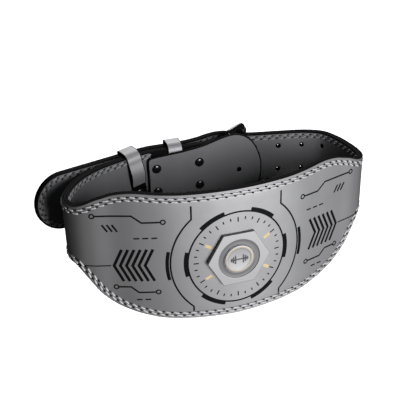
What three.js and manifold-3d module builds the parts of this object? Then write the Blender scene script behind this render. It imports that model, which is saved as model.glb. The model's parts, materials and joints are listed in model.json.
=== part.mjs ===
// Weightlifting belt, closed in its loop, with the wide back panel to the front.
// Millimetres, +Z up. The belt is laid out upright first, with the badge centre on the
// origin of the outer face, X to the right and Y through the loop to the buckle. It is then
// leaned back onto the surface that it rests on, and its box is centred on the origin.
import * as THREE from 'three';
import { mergeVertices } from 'three/addons/utils/BufferGeometryUtils.js';
import Module from 'manifold-3d';

const wasm = await Module();
wasm.setup();

// Loop, seen from above
const loopWidth = 339;          // outer face to outer face, side to side
const loopOffset = 2;           // the loop's middle, to the right of the badge
const loopDepth = 151;          // outer face of the badge to outer face of the body at the buckle
const backArcRadius = 300;      // the back panel bends to this radius behind the badge
const tailLength = 123;         // straight end of the tongue, past the closure
const tailAngle = 16.6;         // degrees, how far the tail turns back towards the loop

// Height of the wall
const backHeight = 150;         // at the badge
const badgeRise = 5;            // how far the panel's middle lies above the badge's centre
const strapHeight = 67.5;
const strapRise = 35.5;         // how far the strap's middle lies above the badge's centre
const taperLength = 175;        // along the belt, from the badge to where the strap begins

// Plies of the wall
const outerPly = 2.1;
const corePly = 2.2;
const liningPly = 2.1;
const gap = 0.3;                // between pieces that touch
const flattening = 0.6;         // how far the lower edge is pressed flat where it rests

// Closure
const heelX = 44;               // heel bar, to the right of the badge's centre
const bodyEndSetback = 8;       // the body stops this far before the heel bar
const wireDiameter = 6.8;
const cornerSwell = 1.03;       // a weld's ball at the frame's corner, of the wire
const rollerWall = 1.1;
const rollerPlay = 0.35;
const armClearance = 3.4;       // between the strap's edge and the frame's arms
const rollerReach = 21.8;       // heel bar to the roller, measured along X on the tongue
const prongThickness = 4.2;
const prongReach = 10.3;        // heel bar to where the prongs cross the tongue
const prongLoopWall = 1.5;
const prongLoopWidth = 7;
const prongStraight = 0.75;     // share of the wall that a prong runs straight on for, to both sides
const prongRise = 2.2;          // how far a prong bows up before the roller
const prongDip = 1.2;           // how far its tip bows down past the roller
const prongTip = 5;             // from the roller to its tip, and to the top of the bow
const slotPlay = 1;             // a chape's slot is longer than the prong's loop by this and two gaps
const chapeThickness = 1.6;
const chapeInset = 3;           // the chape is narrower than the strap by this at each edge
const chapeOuterLeg = 99;
const chapeInnerLeg = 46;
const tongueBulge = 15;         // how far the tongue stands off the body over the heel bar
const bulgeReach = 28;          // heel bar to where the tongue is back in line, along X

// Prong holes
const holeDiameter = 6;
const holePitch = 29;
const holeRowSpacing = 30;
const holeRowRise = 1.5;        // middle of the two rows, above the strap's middle
const holePairs = 11;
const engagedPair = 4;          // the prongs are through this pair, counted from 0

// Guard flap inside the closure
const flapThickness = 2.5;
const flapLeft = 100;           // from the heel bar to its square end
const flapRight = 40;           // from the heel bar to the tip of its round end
const flapHalfHeight = 42;
const flapHoleDiameter = 6;
const flapHoleRise = -5;        // from the strap's middle
const flapHoleOffset = 11;      // from the heel bar

// Rivets
const rivetHead = 11;
const rivetDome = 2.4;
const rivetFoot = 1.1;
const rivetFootWidth = 0.8;     // of the head
const rivetFootTop = 0.6;       // of the head, where the foot's edge slopes
const rivetFootEdge = 0.6;      // of the foot's thickness, where the slope begins
const rivetShank = 4;
const rivetSpacing = 29;
const rivetDrop = 1.5;          // middle of a pair, below the strap's middle
const rivetNearColumn = 38.5;
const rivetFarColumn = 90.5;    // the two columns, from the heel bar

// Keepers
const keeperThickness = 1.4;
const fixedKeeperWidth = 18;
const fixedKeeperSlack = 3.2;   // between it and the strap's edges
const fixedKeeperOffset = 66;   // from the heel bar
const lapKeeperWidth = 18.5;
const lapKeeperOffset = 115.5;
const lapKeeperTilt = 7;        // degrees, its top away from the buckle
const lapKeeperSlack = 1.8;
const lapBulge = 3;             // how far the lapped end bows into the loop
const lapEnd = -2;              // where the lapped end stops, from the strap's middle
const lapRivetDrop = 12.5;      // keeper rivet below the strap's middle
const lapRivetShift = 1.5;      // and nearer to the buckle than the keeper's middle

// Badge on the back panel
const badgeAcrossFlats = 60;
const badgeRaise = 3.4;         // front face ahead of the leather at the badge's centre
const badgeCorner = 1.2;
const grooveOuter = 46;
const grooveInner = 34;
const grooveDepth = 0.9;
const discDiameter = 32.6;
const discThickness = 1.6;
const discPocket = 1.1;

const wall = outerPly + corePly + liningPly + 2 * gap;
const bodyInnerY = loopDepth - wall;
const barY = loopDepth - wall / 2;
const wireRadius = wireDiameter / 2;
const rollerRadius = wireRadius + rollerPlay + rollerWall;

// Solids for cutting and joining

// One closed surface: shared corners are merged, and triangles that collapse at a pole go
function closed(geometry) {
  geometry.deleteAttribute('normal');
  geometry.deleteAttribute('uv');
  const merged = mergeVertices(geometry, 1e-4);
  const corners = Array.from(merged.index.array);
  const index = [];
  for (let first = 0; first < corners.length; first += 3) {
    const [a, b, c] = corners.slice(first, first + 3);
    if (a !== b && b !== c && c !== a) index.push(a, b, c);
  }
  merged.setIndex(index);
  return merged;
}

function solidFrom(geometry) {
  return new wasm.Manifold(new wasm.Mesh({
    numProp: 3,
    vertProperties: new Float32Array(geometry.attributes.position.array),
    triVerts: new Uint32Array(geometry.index.array),
  }));
}

function geometryFrom(solid) {
  const mesh = solid.getMesh();
  const geometry = new THREE.BufferGeometry();
  geometry.setAttribute('position', new THREE.BufferAttribute(mesh.vertProperties, 3));
  geometry.setIndex(new THREE.BufferAttribute(mesh.triVerts, 1));
  geometry.computeVertexNormals();
  return geometry;
}

function cut(geometry, tools) {
  return geometryFrom(tools.reduce((solid, tool) => solid.subtract(solidFrom(tool)), solidFrom(geometry)));
}

function join(geometries) {
  const [first, ...rest] = geometries.map(solidFrom);
  return geometryFrom(rest.reduce((solid, other) => solid.add(other), first));
}

// A round bar from one point to another
function bar(from, to, radius, sides = 10) {
  const along = to.clone().sub(from);
  const geometry = closed(new THREE.CylinderGeometry(radius, radius, along.length(), sides));
  const turn = new THREE.Quaternion().setFromUnitVectors(new THREE.Vector3(0, 1, 0), along.normalize());
  geometry.applyQuaternion(turn);
  const middle = from.clone().add(to).multiplyScalar(0.5);
  return geometry.translate(middle.x, middle.y, middle.z);
}

// Plan of the outer face

// Each side as shares of half the loop's width and of its depth, from the back panel on.
const turnOfSide = [
  { across: 0.755, back: 0.180 },
  { across: 0.880, back: 0.229 },
  { across: 0.945, back: 0.272 },
  { across: 0.985, back: 0.338 },
  { across: 0.998, back: 0.430 },
];
const tongueSide = [
  { across: 0.995, back: 0.540 },
  { across: 0.974, back: 0.700 },
  { across: 0.922, back: 0.842 },
  { across: 0.815, back: 0.922 },
  { across: 0.605, back: 0.985 },
];
const bodySide = [
  { across: 0.970, back: 0.530 },
  { across: 0.900, back: 0.662 },
  { across: 0.813, back: 0.764 },
  { across: 0.690, back: 0.858 },
  { across: 0.540, back: 0.928 },
  { across: 0.440, back: 0.970 },
  { across: 0.335, back: 0.996 },
];
const backArcShares = [0.2, 0.4, 0.6];

// The tongue over the closure: its stand-off from the body as shares of the bulge, at
// places from the heel bar that are shares of the bulge's reach.
const tongueOverBar = [
  { reach: 1.00, stand: -0.08 },
  { reach: 0.55, stand: 0.47 },
  { reach: 0.12, stand: 0.96 },
  { reach: -0.25, stand: 1.05 },
  { reach: -0.66, stand: 0.90 },
  { reach: -1.25, stand: 0.50 },
];

const onOuterFace = ({ across, back }, side) =>
  new THREE.Vector3(side * across * loopWidth / 2 + loopOffset, back * loopDepth, 0);

function onBackArc(share, side) {
  const x = share * loopWidth / 2;
  return new THREE.Vector3(side * x, backArcRadius - Math.sqrt(backArcRadius ** 2 - x ** 2), 0);
}

const stackOverBody = gap + chapeThickness + rivetFoot + 2 * gap;
const overBody = (x, stand) => new THREE.Vector3(x, loopDepth + stand + wall, 0);

function planPoints() {
  const body = [
    overBody(heelX - bodyEndSetback, -wall),
    overBody(heelX - fixedKeeperOffset, -wall),
    ...bodySide.toReversed().map((point) => onOuterFace(point, -1)),
  ];
  const left = turnOfSide.toReversed().map((point) => onOuterFace(point, -1));
  const back = [
    ...backArcShares.toReversed().map((share) => onBackArc(share, -1)),
    new THREE.Vector3(),
    ...backArcShares.map((share) => onBackArc(share, 1)),
  ];
  const right = [...turnOfSide, ...tongueSide].map((point) => onOuterFace(point, 1));
  const closure = tongueOverBar.map(({ reach, stand }) =>
    overBody(heelX + reach * bulgeReach, stand * tongueBulge));
  const overKeepers = [
    overBody(heelX - fixedKeeperOffset + fixedKeeperWidth / 2, stackOverBody),
    overBody(heelX - fixedKeeperOffset - fixedKeeperWidth / 2, stackOverBody),
    overBody(heelX - rivetFarColumn - rivetHead / 2, stackOverBody - gap),
  ];
  const bend = onOuterFace(bodySide[5], -1);
  bend.y += stackOverBody - gap + wall;
  const heading = THREE.MathUtils.degToRad(tailAngle);
  const tail = [0.25, 0.5, 0.75, 1].map((share) => new THREE.Vector3(
    bend.x - Math.cos(heading) * tailLength * share,
    bend.y - Math.sin(heading) * tailLength * share,
    0,
  ));
  const centre = body.length + left.length + backArcShares.length;
  const points = [...body, ...left, ...back, ...right, ...closure, ...overKeepers, bend, ...tail];
  return { points, centre };
}

const { points: plan, centre: centrePoint } = planPoints();
const route = new THREE.CatmullRomCurve3(plan, false, 'centripetal');
const divisionsPerPoint = 60;
route.arcLengthDivisions = (plan.length - 1) * divisionsPerPoint;
const routeLengths = route.getLengths();
const bodyLength = routeLengths[centrePoint * divisionsPerPoint];
const routeLength = routeLengths.at(-1);
const tongueLength = routeLength - bodyLength;

// Frame of the outer face at a distance along the belt from the badge, positive on the
// tongue's side: the point, the way along, and the way out of the loop.
function faceAt(distance) {
  const share = THREE.MathUtils.clamp((distance + bodyLength) / routeLength, 0, 1);
  const along = route.getTangentAt(share);
  return { point: route.getPointAt(share), along, out: new THREE.Vector3(along.y, -along.x, 0) };
}

function onWall(distance, inset, height) {
  const { point, out } = faceAt(distance);
  return new THREE.Vector3(point.x - out.x * inset, point.y - out.y * inset, height);
}

// Distance along the belt at which one end's outer face reaches an X, between two distances
function distanceAtX(x, low, high) {
  let [from, to] = [low, high];
  const rising = faceAt(high).point.x > faceAt(low).point.x;
  for (let step = 0; step < 40; step += 1) {
    const middle = (from + to) / 2;
    if (faceAt(middle).point.x < x === rising) from = middle;
    else to = middle;
  }
  return (from + to) / 2;
}

const onBody = (offset) => distanceAtX(heelX - offset, -bodyLength, -bodyLength * 0.6);
const onTongue = (offset) => distanceAtX(heelX + offset, tongueLength * 0.45, tongueLength);

// Height of the wall along the belt

// Edges between the back panel and the strap: shares of the rise from the strap's edge to
// the panel's edge at the badge, at shares of the taper's length.
const taper = [
  { along: 0.00, top: 1.00, bottom: 1.00 },
  { along: 0.17, top: 1.02, bottom: 0.986 },
  { along: 0.34, top: 1.08, bottom: 0.958 },
  { along: 0.48, top: 1.24, bottom: 0.912 },
  { along: 0.60, top: 1.45, bottom: 0.828 },
  { along: 0.67, top: 1.42, bottom: 0.755 },
  { along: 0.73, top: 1.26, bottom: 0.680 },
  { along: 0.78, top: 1.00, bottom: 0.585 },
  { along: 0.835, top: 0.72, bottom: 0.450 },
  { along: 0.89, top: 0.32, bottom: 0.260 },
  { along: 0.945, top: 0.05, bottom: 0.085 },
  { along: 1.00, top: 0.00, bottom: 0.00 },
];

// Smooth value of a column of a table, at a place between its rows
function between(table, place, key, column) {
  const last = table.length - 1;
  if (place >= table[last][key]) return table[last][column];
  const row = table.findIndex((entry) => entry[key] > place) - 1;
  const slope = (index) => {
    const before = table[Math.max(index - 1, 0)];
    const after = table[Math.min(index + 1, last)];
    if (index === 0 || index === last) return 0;
    return (after[column] - before[column]) / (after[key] - before[key]);
  };
  const span = table[row + 1][key] - table[row][key];
  const t = (place - table[row][key]) / span;
  return table[row][column] * (2 * t ** 3 - 3 * t ** 2 + 1)
    + table[row + 1][column] * (3 * t ** 2 - 2 * t ** 3)
    + slope(row) * span * (t ** 3 - 2 * t ** 2 + t)
    + slope(row + 1) * span * (t ** 3 - t ** 2);
}

function edgesAt(distance) {
  const place = Math.abs(distance) / taperLength;
  const strapTop = strapRise + strapHeight / 2;
  const strapBottom = strapRise - strapHeight / 2;
  const backTop = badgeRise + backHeight / 2;
  const backBottom = badgeRise - backHeight / 2;
  const tipRadius = strapHeight / 2;
  const intoTip = Math.max(0, distance - (tongueLength - tipRadius));
  const round = tipRadius - Math.sqrt(Math.max(0, tipRadius ** 2 - intoTip ** 2));
  return {
    top: strapTop + (backTop - strapTop) * between(taper, place, 'along', 'top') - round,
    bottom: strapBottom + (backBottom - strapBottom) * between(taper, place, 'along', 'bottom') + round,
  };
}

// Stations along the belt: closer where it bends, where the wall tapers and at the round tip
const plainReach = 19;
const taperReach = 8;
const taperFrom = 0.4;          // share of the taper's length from where the edges bend
const tipClearance = 4;
const turnLimit = THREE.MathUtils.degToRad(7.5);
const tipAngles = [0, 17, 34, 50, 64, 76];

function stationsAlong() {
  const stations = [-bodyLength];
  const tipStart = tongueLength - strapHeight / 2;
  let turned = 0;
  let heading = faceAt(-bodyLength).along;
  for (let distance = -bodyLength + 1; distance < tipStart - tipClearance; distance += 1) {
    const along = faceAt(distance).along;
    turned += along.angleTo(heading);
    heading = along;
    const tapering = Math.abs(distance) > taperFrom * taperLength && Math.abs(distance) < taperLength;
    const reach = distance - stations.at(-1);
    if (turned >= turnLimit || reach >= (tapering ? taperReach : plainReach)) {
      stations.push(distance);
      turned = 0;
    }
  }
  tipAngles.forEach((angle) => {
    stations.push(tipStart + Math.sin(THREE.MathUtils.degToRad(angle)) * strapHeight / 2);
  });
  return stations;
}

const stations = stationsAlong();

// A ply of the wall between two insets from the outer face
function plySheet(insetOut, insetIn) {
  const positions = [];
  stations.forEach((distance) => {
    const { top, bottom } = edgesAt(distance);
    positions.push(
      ...onWall(distance, insetOut, top),
      ...onWall(distance, insetOut, bottom),
      ...onWall(distance, insetIn, bottom),
      ...onWall(distance, insetIn, top),
    );
  });
  const index = [];
  for (let station = 0; station < stations.length - 1; station += 1) {
    for (let side = 0; side < 4; side += 1) {
      const near = station * 4 + side;
      const nearNext = station * 4 + (side + 1) % 4;
      index.push(near, nearNext, near + 4, nearNext, nearNext + 4, near + 4);
    }
  }
  const end = (stations.length - 1) * 4;
  index.push(0, 2, 1, 0, 3, 2);
  index.push(end, end + 1, end + 2, end, end + 2, end + 3);
  const geometry = new THREE.BufferGeometry();
  geometry.setAttribute('position', new THREE.BufferAttribute(new Float32Array(positions), 3));
  geometry.setIndex(index);
  return geometry;
}

// Holes through the wall

function drill(distance, height, radius, inset = wall / 2, length = 3 * wall) {
  const { out } = faceAt(distance);
  const middle = onWall(distance, inset, height);
  const reach = out.clone().multiplyScalar(length / 2);
  return bar(middle.clone().sub(reach), middle.clone().add(reach), radius, 8);
}

const prongCrossing = onTongue(prongReach);
const rowHeights = [-1, 1].map((row) => strapRise + holeRowRise + row * holeRowSpacing / 2);
const prongHoles = [];
for (let pair = 0; pair < holePairs; pair += 1) {
  const distance = prongCrossing + (pair - engagedPair) * holePitch;
  rowHeights.forEach((height) => prongHoles.push(drill(distance, height, holeDiameter / 2)));
}

const flapRivets = [rivetNearColumn, rivetFarColumn].flatMap((offset) =>
  [1, -1].map((row) => ({ offset, height: strapRise - rivetDrop + row * rivetSpacing / 2 })));
const keeperRivet = { offset: lapKeeperOffset - lapRivetShift, height: strapRise - lapRivetDrop };
const rivetDrills = [...flapRivets, keeperRivet].map(({ offset, height }) =>
  drill(onBody(offset), height, rivetShank / 2 + gap, wall / 2, 5 * wall / 2));

// Buckle

const armHeight = strapHeight / 2 + armClearance + wireRadius;
const heel = new THREE.Vector3(heelX, barY, strapRise);
const underRoller = faceAt(onTongue(rollerReach));
const roller = underRoller.point.clone().addScaledVector(underRoller.out, rollerRadius + gap);
roller.z = strapRise;

function buckleFrame() {
  const corner = (centre, side) => centre.clone().setZ(strapRise + side * armHeight);
  const corners = [corner(heel, -1), corner(roller, -1), corner(roller, 1), corner(heel, 1)];
  const bars = corners.map((from, index) => bar(from, corners[(index + 1) % 4], wireRadius));
  const balls = corners.map(({ x, y, z }) =>
    closed(new THREE.SphereGeometry(wireRadius * cornerSwell, 10, 6)).rotateX(Math.PI / 2).translate(x, y, z));
  return join([...bars, ...balls]);
}

// A tube standing along Z round a bar
function sleeve(inner, outer, height, sides = 16) {
  const profile = [
    [inner, -height / 2],
    [outer, -height / 2],
    [outer, height / 2],
    [inner, height / 2],
    [inner, -height / 2],
  ].map(([radius, z]) => new THREE.Vector2(radius, z));
  return closed(new THREE.LatheGeometry(profile, sides)).rotateX(Math.PI / 2);
}

function buckleRoller() {
  const length = 2 * (armHeight - wireRadius) - 4 * gap;
  return sleeve(wireRadius + rollerPlay, rollerRadius, length).translate(roller.x, roller.y, roller.z);
}

// A prong: a loop round the heel bar and a bar through the tongue's hole, over the roller
function prong(height) {
  const crossing = faceAt(prongCrossing);
  const middle = onWall(prongCrossing, wall / 2, height);
  const radius = prongThickness / 2;
  const fromBar = middle.clone().sub(heel.clone().setZ(height)).normalize();
  const frameWay = roller.clone().sub(heel).normalize();
  const frameOut = new THREE.Vector3(-frameWay.y, frameWay.x, 0);
  const onRoller = roller.clone().setZ(height);
  const overRoller = rollerRadius + radius + gap;
  const path = new THREE.CatmullRomCurve3([
    heel.clone().setZ(height).addScaledVector(fromBar, wireRadius + prongLoopWall / 2 + gap),
    middle.clone().addScaledVector(crossing.out, -wall * prongStraight),
    middle,
    middle.clone().addScaledVector(crossing.out, wall * prongStraight),
    onRoller.clone().addScaledVector(frameOut, overRoller + prongRise)
      .addScaledVector(frameWay, -prongTip),
    onRoller.clone().addScaledVector(frameOut, overRoller),
    onRoller.clone().addScaledVector(frameOut, overRoller - prongDip)
      .addScaledVector(frameWay, prongTip),
  ], false, 'centripetal');
  const section = new THREE.Shape();
  section.absarc(0, 0, radius, 0, 2 * Math.PI);
  const rod = closed(new THREE.ExtrudeGeometry(section, { steps: 14, curveSegments: 4, extrudePath: path }));
  const loop = sleeve(wireRadius + gap, wireRadius + gap + prongLoopWall, prongLoopWidth, 16);
  loop.translate(heel.x, heel.y, height);
  const barHole = bar(
    heel.clone().setZ(height - 2 * prongLoopWidth),
    heel.clone().setZ(height + 2 * prongLoopWidth),
    wireRadius + gap,
    16,
  );
  return cut(join([rod, loop]), [barHole]);
}

// The chape: one strip folded round the heel bar, with its legs on both faces of the body
function chape() {
  const innerRadius = wall / 2 + gap;
  const outerRadius = innerRadius + chapeThickness;
  const outline = new THREE.Shape();
  outline.moveTo(heelX - chapeOuterLeg, barY + innerRadius);
  outline.lineTo(heelX, barY + innerRadius);
  outline.absarc(heelX, barY, innerRadius, Math.PI / 2, -Math.PI / 2, true);
  outline.lineTo(heelX - chapeInnerLeg, barY - innerRadius);
  outline.lineTo(heelX - chapeInnerLeg, barY - outerRadius);
  outline.lineTo(heelX, barY - outerRadius);
  outline.absarc(heelX, barY, outerRadius, -Math.PI / 2, Math.PI / 2, false);
  outline.lineTo(heelX - chapeOuterLeg, barY + outerRadius);
  outline.closePath();
  const height = strapHeight - 2 * chapeInset;
  const strip = closed(new THREE.ExtrudeGeometry(outline, {
    depth: height,
    bevelEnabled: false,
    curveSegments: 8,
  }));
  strip.translate(0, 0, strapRise - height / 2);
  const slotLength = 2 * (outerRadius + 2 * gap);
  const slots = rowHeights.map((z) => closed(new THREE.BoxGeometry(
    slotLength,
    3 * outerRadius,
    prongLoopWidth + 2 * gap + slotPlay,
  )).translate(heelX + gap, barY, z));
  return cut(strip, [...slots, ...rivetDrills]);
}

// Guard flap: a paddle that is square at its left end and round at its right. Its edges
// above and below the strap's middle are shares of its half height.
const flapEdge = [
  { along: 0.00, above: 0.58, below: 0.58 },
  { along: 0.015, above: 0.64, below: 0.64 },
  { along: 0.05, above: 0.665, below: 0.665 },
  { along: 0.15, above: 0.69, below: 0.69 },
  { along: 0.32, above: 0.73, below: 0.73 },
  { along: 0.47, above: 0.80, below: 0.80 },
  { along: 0.61, above: 0.92, below: 0.92 },
  { along: 0.70, above: 0.985, below: 0.985 },
  { along: 0.77, above: 0.99, below: 1.00 },
  { along: 0.84, above: 0.91, below: 0.97 },
  { along: 0.905, above: 0.74, below: 0.90 },
  { along: 0.955, above: 0.48, below: 0.76 },
  { along: 0.985, above: 0.22, below: 0.55 },
  { along: 1.00, above: 0.00, below: 0.25 },
];

function guardFlap() {
  const length = flapLeft + flapRight;
  const at = (along, rise) => new THREE.Vector2(heelX - flapLeft + along * length, rise * flapHalfHeight);
  const below = flapEdge.map((entry) => at(entry.along, -entry.below));
  const above = flapEdge.toReversed().map((entry) => at(entry.along, entry.above));
  const outline = new THREE.Shape([...below, ...above]);
  const hole = new THREE.Path();
  hole.absarc(heelX + flapHoleOffset, flapHoleRise, flapHoleDiameter / 2, 0, 2 * Math.PI, true);
  outline.holes.push(hole);
  const flap = closed(new THREE.ExtrudeGeometry(outline, {
    depth: flapThickness,
    bevelEnabled: false,
    curveSegments: 10,
  }));
  flap.rotateX(Math.PI / 2);
  flap.translate(0, bodyInnerY - chapeThickness - 2 * gap, strapRise);
  return cut(flap, rivetDrills);
}

// Rivets: a dome on the inner side, a shank and a flat foot on the outer side. The dome
// sits at the given inset from the body's outer face, and the foot at the given stand-off.
function rivet({ offset, height }, domeInset, footStand) {
  const { out } = faceAt(onBody(offset));
  const headRadius = rivetHead / 2;
  const domeSteps = 4;
  const profile = [new THREE.Vector2(0, -domeInset - rivetDome)];
  for (let step = 1; step <= domeSteps; step += 1) {
    const angle = (step / domeSteps) * Math.PI / 2;
    profile.push(new THREE.Vector2(headRadius * Math.sin(angle), -domeInset - rivetDome * Math.cos(angle)));
  }
  profile.push(
    new THREE.Vector2(rivetShank / 2, -domeInset),
    new THREE.Vector2(rivetShank / 2, footStand),
    new THREE.Vector2(headRadius * rivetFootWidth, footStand),
    new THREE.Vector2(headRadius * rivetFootWidth, footStand + rivetFoot * rivetFootEdge),
    new THREE.Vector2(headRadius * rivetFootTop, footStand + rivetFoot),
    new THREE.Vector2(0, footStand + rivetFoot),
  );
  const geometry = closed(new THREE.LatheGeometry(profile, 10));
  geometry.applyQuaternion(new THREE.Quaternion().setFromUnitVectors(new THREE.Vector3(0, 1, 0), out));
  const foot = onWall(onBody(offset), 0, height);
  return geometry.translate(foot.x, foot.y, foot.z);
}

// Keepers

// Span of both straps outwards from the body's outer face, near a place on the body
function strapsAcross(distance, width) {
  const { point, along, out } = faceAt(distance);
  const spans = { lowest: Infinity, highest: -Infinity };
  const measure = (position) => {
    const offset = position.sub(point);
    if (Math.abs(offset.dot(along)) > width / 2) return;
    spans.lowest = Math.min(spans.lowest, offset.dot(out));
    spans.highest = Math.max(spans.highest, offset.dot(out));
  };
  for (let step = -width; step <= width; step += 1) {
    measure(onWall(distance + step, wall, 0));
    measure(onWall(distance + step, 0, 0));
  }
  for (let place = tongueLength * 0.7; place < tongueLength; place += 1) {
    measure(onWall(place, 0, 0));
  }
  return spans;
}

// A leather loop round both straps. Its outline is seen along the strap, with X out of the
// loop and Y up, and it is as deep as the keeper is wide. A lapped keeper has a second
// layer on its inner leg that comes down from the top and bows into the loop.
function keeper({ offset, width, tilt, slack, lapped }) {
  const distance = onBody(offset);
  const { point, out } = faceAt(distance);
  const lean = THREE.MathUtils.degToRad(tilt);
  const spread = width * Math.cos(lean) + strapHeight * Math.sin(lean);
  const { lowest, highest } = strapsAcross(distance, spread);
  const half = strapHeight / 2 / Math.cos(lean) + width / 2 * Math.tan(lean) + slack;
  const inside = { left: lowest - gap, right: highest + 2 * gap, below: -half, above: half };
  const t = keeperThickness;
  const outline = new THREE.Shape();
  const round = 2 * t;
  outline.moveTo(inside.left - t, inside.below + round);
  outline.quadraticCurveTo(inside.left - t, inside.below - t, inside.left + round, inside.below - t);
  outline.lineTo(inside.right - round, inside.below - t);
  outline.quadraticCurveTo(inside.right + t, inside.below - t, inside.right + t, inside.below + round);
  outline.lineTo(inside.right + t, inside.above - round);
  outline.quadraticCurveTo(inside.right + t, inside.above + t, inside.right - round, inside.above + t);
  if (lapped) {
    const lapOut = inside.left - 2 * t;
    outline.lineTo(inside.left + round, inside.above + t);
    outline.quadraticCurveTo(lapOut, inside.above + t, lapOut, inside.above - round);
    outline.quadraticCurveTo(lapOut - 2 * lapBulge, (inside.above + lapEnd) / 2, lapOut, lapEnd);
    outline.lineTo(inside.left - t, lapEnd);
  } else {
    outline.lineTo(inside.left + round, inside.above + t);
    outline.quadraticCurveTo(inside.left - t, inside.above + t, inside.left - t, inside.above - round);
  }
  outline.closePath();
  const hole = new THREE.Path();
  hole.moveTo(inside.left, inside.below);
  hole.lineTo(inside.left, inside.above);
  hole.lineTo(inside.right, inside.above);
  hole.lineTo(inside.right, inside.below);
  hole.closePath();
  outline.holes.push(hole);
  const loop = closed(new THREE.ExtrudeGeometry(outline, {
    depth: width,
    bevelEnabled: false,
    curveSegments: 5,
  }));
  loop.translate(0, 0, -width / 2);
  const across = new THREE.Vector3().crossVectors(out, new THREE.Vector3(0, 0, 1));
  const place = new THREE.Matrix4().makeBasis(out, new THREE.Vector3(0, 0, 1), across);
  loop.applyMatrix4(new THREE.Matrix4().makeRotationAxis(new THREE.Vector3(1, 0, 0), -lean));
  loop.applyMatrix4(place.setPosition(point.x, point.y, strapRise));
  return { loop, inset: -inside.left };
}

// Badge

// A round disc or pocket facing the front of the badge, between two depths along Y
function faceDisc(diameter, from, to, sides = 40) {
  const disc = closed(new THREE.CylinderGeometry(diameter / 2, diameter / 2, to - from, sides));
  return disc.translate(0, (from + to) / 2, 0);
}

function badgePlate() {
  const circumradius = badgeAcrossFlats / Math.sqrt(3);
  const outline = new THREE.Shape();
  for (let corner = 0; corner < 6; corner += 1) {
    const at = (index) => new THREE.Vector2(
      circumradius * Math.cos(index * Math.PI / 3),
      circumradius * Math.sin(index * Math.PI / 3),
    );
    const tip = at(corner);
    const before = tip.clone().lerp(at(corner - 1), badgeCorner / circumradius);
    const after = tip.clone().lerp(at(corner + 1), badgeCorner / circumradius);
    if (corner === 0) outline.moveTo(before.x, before.y);
    else outline.lineTo(before.x, before.y);
    outline.quadraticCurveTo(tip.x, tip.y, after.x, after.y);
  }
  outline.closePath();
  const depth = badgeAcrossFlats / 3;
  const block = closed(new THREE.ExtrudeGeometry(outline, {
    depth,
    bevelEnabled: false,
    curveSegments: 3,
  }));
  block.rotateX(Math.PI / 2).translate(0, depth - badgeRaise, 0);
  const backCurve = backArcRadius + gap;
  const backOfPlate = closed(new THREE.CylinderGeometry(backCurve, backCurve, 2 * badgeAcrossFlats, 144));
  backOfPlate.rotateX(Math.PI / 2).translate(0, backArcRadius, 0);
  const groove = cut(
    faceDisc(grooveOuter, -2 * badgeRaise, -badgeRaise + grooveDepth),
    [faceDisc(grooveInner, -3 * badgeRaise, badgeRaise)],
  );
  const pocket = faceDisc(discDiameter + 2 * gap, -2 * badgeRaise, -badgeRaise + discPocket);
  return cut(block, [backOfPlate, groove, pocket]);
}

function badgeDisc() {
  const back = -badgeRaise + discPocket - gap;
  return faceDisc(discDiameter, back - discThickness, back);
}

// Pieces

const finish = (color, roughness, metalness = 0) =>
  new THREE.MeshStandardMaterial({ color, roughness, metalness });
const greyLeather = finish('#a9a9ad', 0.5);
const blackLeather = finish('#1c1b1e', 0.6);
const darkLeather = finish('#4a4a4c', 0.65);
const keeperLeather = finish('#7c7c80', 0.45);
const blackEnamel = finish('#121214', 0.3, 0.4);
const badgeMetal = finish('#d2d2d6', 0.35, 0.3);

function piece(name, geometry, material) {
  const mesh = new THREE.Mesh(geometry, material);
  mesh.name = name;
  return mesh;
}

const frameWire = buckleFrame();
const coreInset = outerPly + gap;
const liningInset = coreInset + corePly + gap;
const plies = [
  { name: 'belt_outer_leather', inset: 0, thickness: outerPly, material: greyLeather },
  { name: 'belt_core', inset: coreInset, thickness: corePly, material: blackLeather },
  { name: 'belt_lining', inset: liningInset, thickness: liningPly, material: darkLeather },
].map((ply) => ({ ...ply, sheet: plySheet(ply.inset, ply.inset + ply.thickness) }));

// The belt leans back until the buckle's frame and the lower edge of the back panel, pressed
// flat by its flattening, stand on one level. Leaning turns it about X. A lowest point is
// looked for among the points that lie no farther back than a given Y.
function lowest(geometry, lean, farthest = Infinity) {
  const position = geometry.attributes.position;
  let level = Infinity;
  for (let index = 0; index < position.count; index += 1) {
    if (position.getY(index) > farthest) continue;
    const height = position.getZ(index) * Math.cos(lean) - position.getY(index) * Math.sin(lean);
    level = Math.min(level, height);
  }
  return level;
}

function restingLean() {
  const back = plySheet(0, wall);
  let [low, high] = [0, THREE.MathUtils.degToRad(60)];
  for (let step = 0; step < 50; step += 1) {
    const middle = (low + high) / 2;
    if (lowest(back, middle, loopDepth / 2) + flattening < lowest(frameWire, middle)) low = middle;
    else high = middle;
  }
  return (low + high) / 2;
}

const lean = restingLean();
const restLevel = lowest(frameWire, lean);
const underSurface = closed(new THREE.BoxGeometry(3 * loopWidth, 6 * loopDepth, backHeight))
  .translate(0, 0, restLevel - backHeight / 2)
  .rotateX(lean);

const belt = new THREE.Group();
plies.forEach(({ name, sheet, material }) => {
  belt.add(piece(name, cut(sheet, [underSurface, ...prongHoles, ...rivetDrills]), material));
});

belt.add(piece('inner_flap', guardFlap(), darkLeather));
belt.add(piece('buckle_chape', chape(), blackLeather));
belt.add(piece('buckle_frame', frameWire, blackEnamel));
belt.add(piece('buckle_roller', buckleRoller(), blackEnamel));
['lower', 'upper'].forEach((row, index) => {
  belt.add(piece(`buckle_prong_${row}`, prong(rowHeights[index]), blackEnamel));
});

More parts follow.
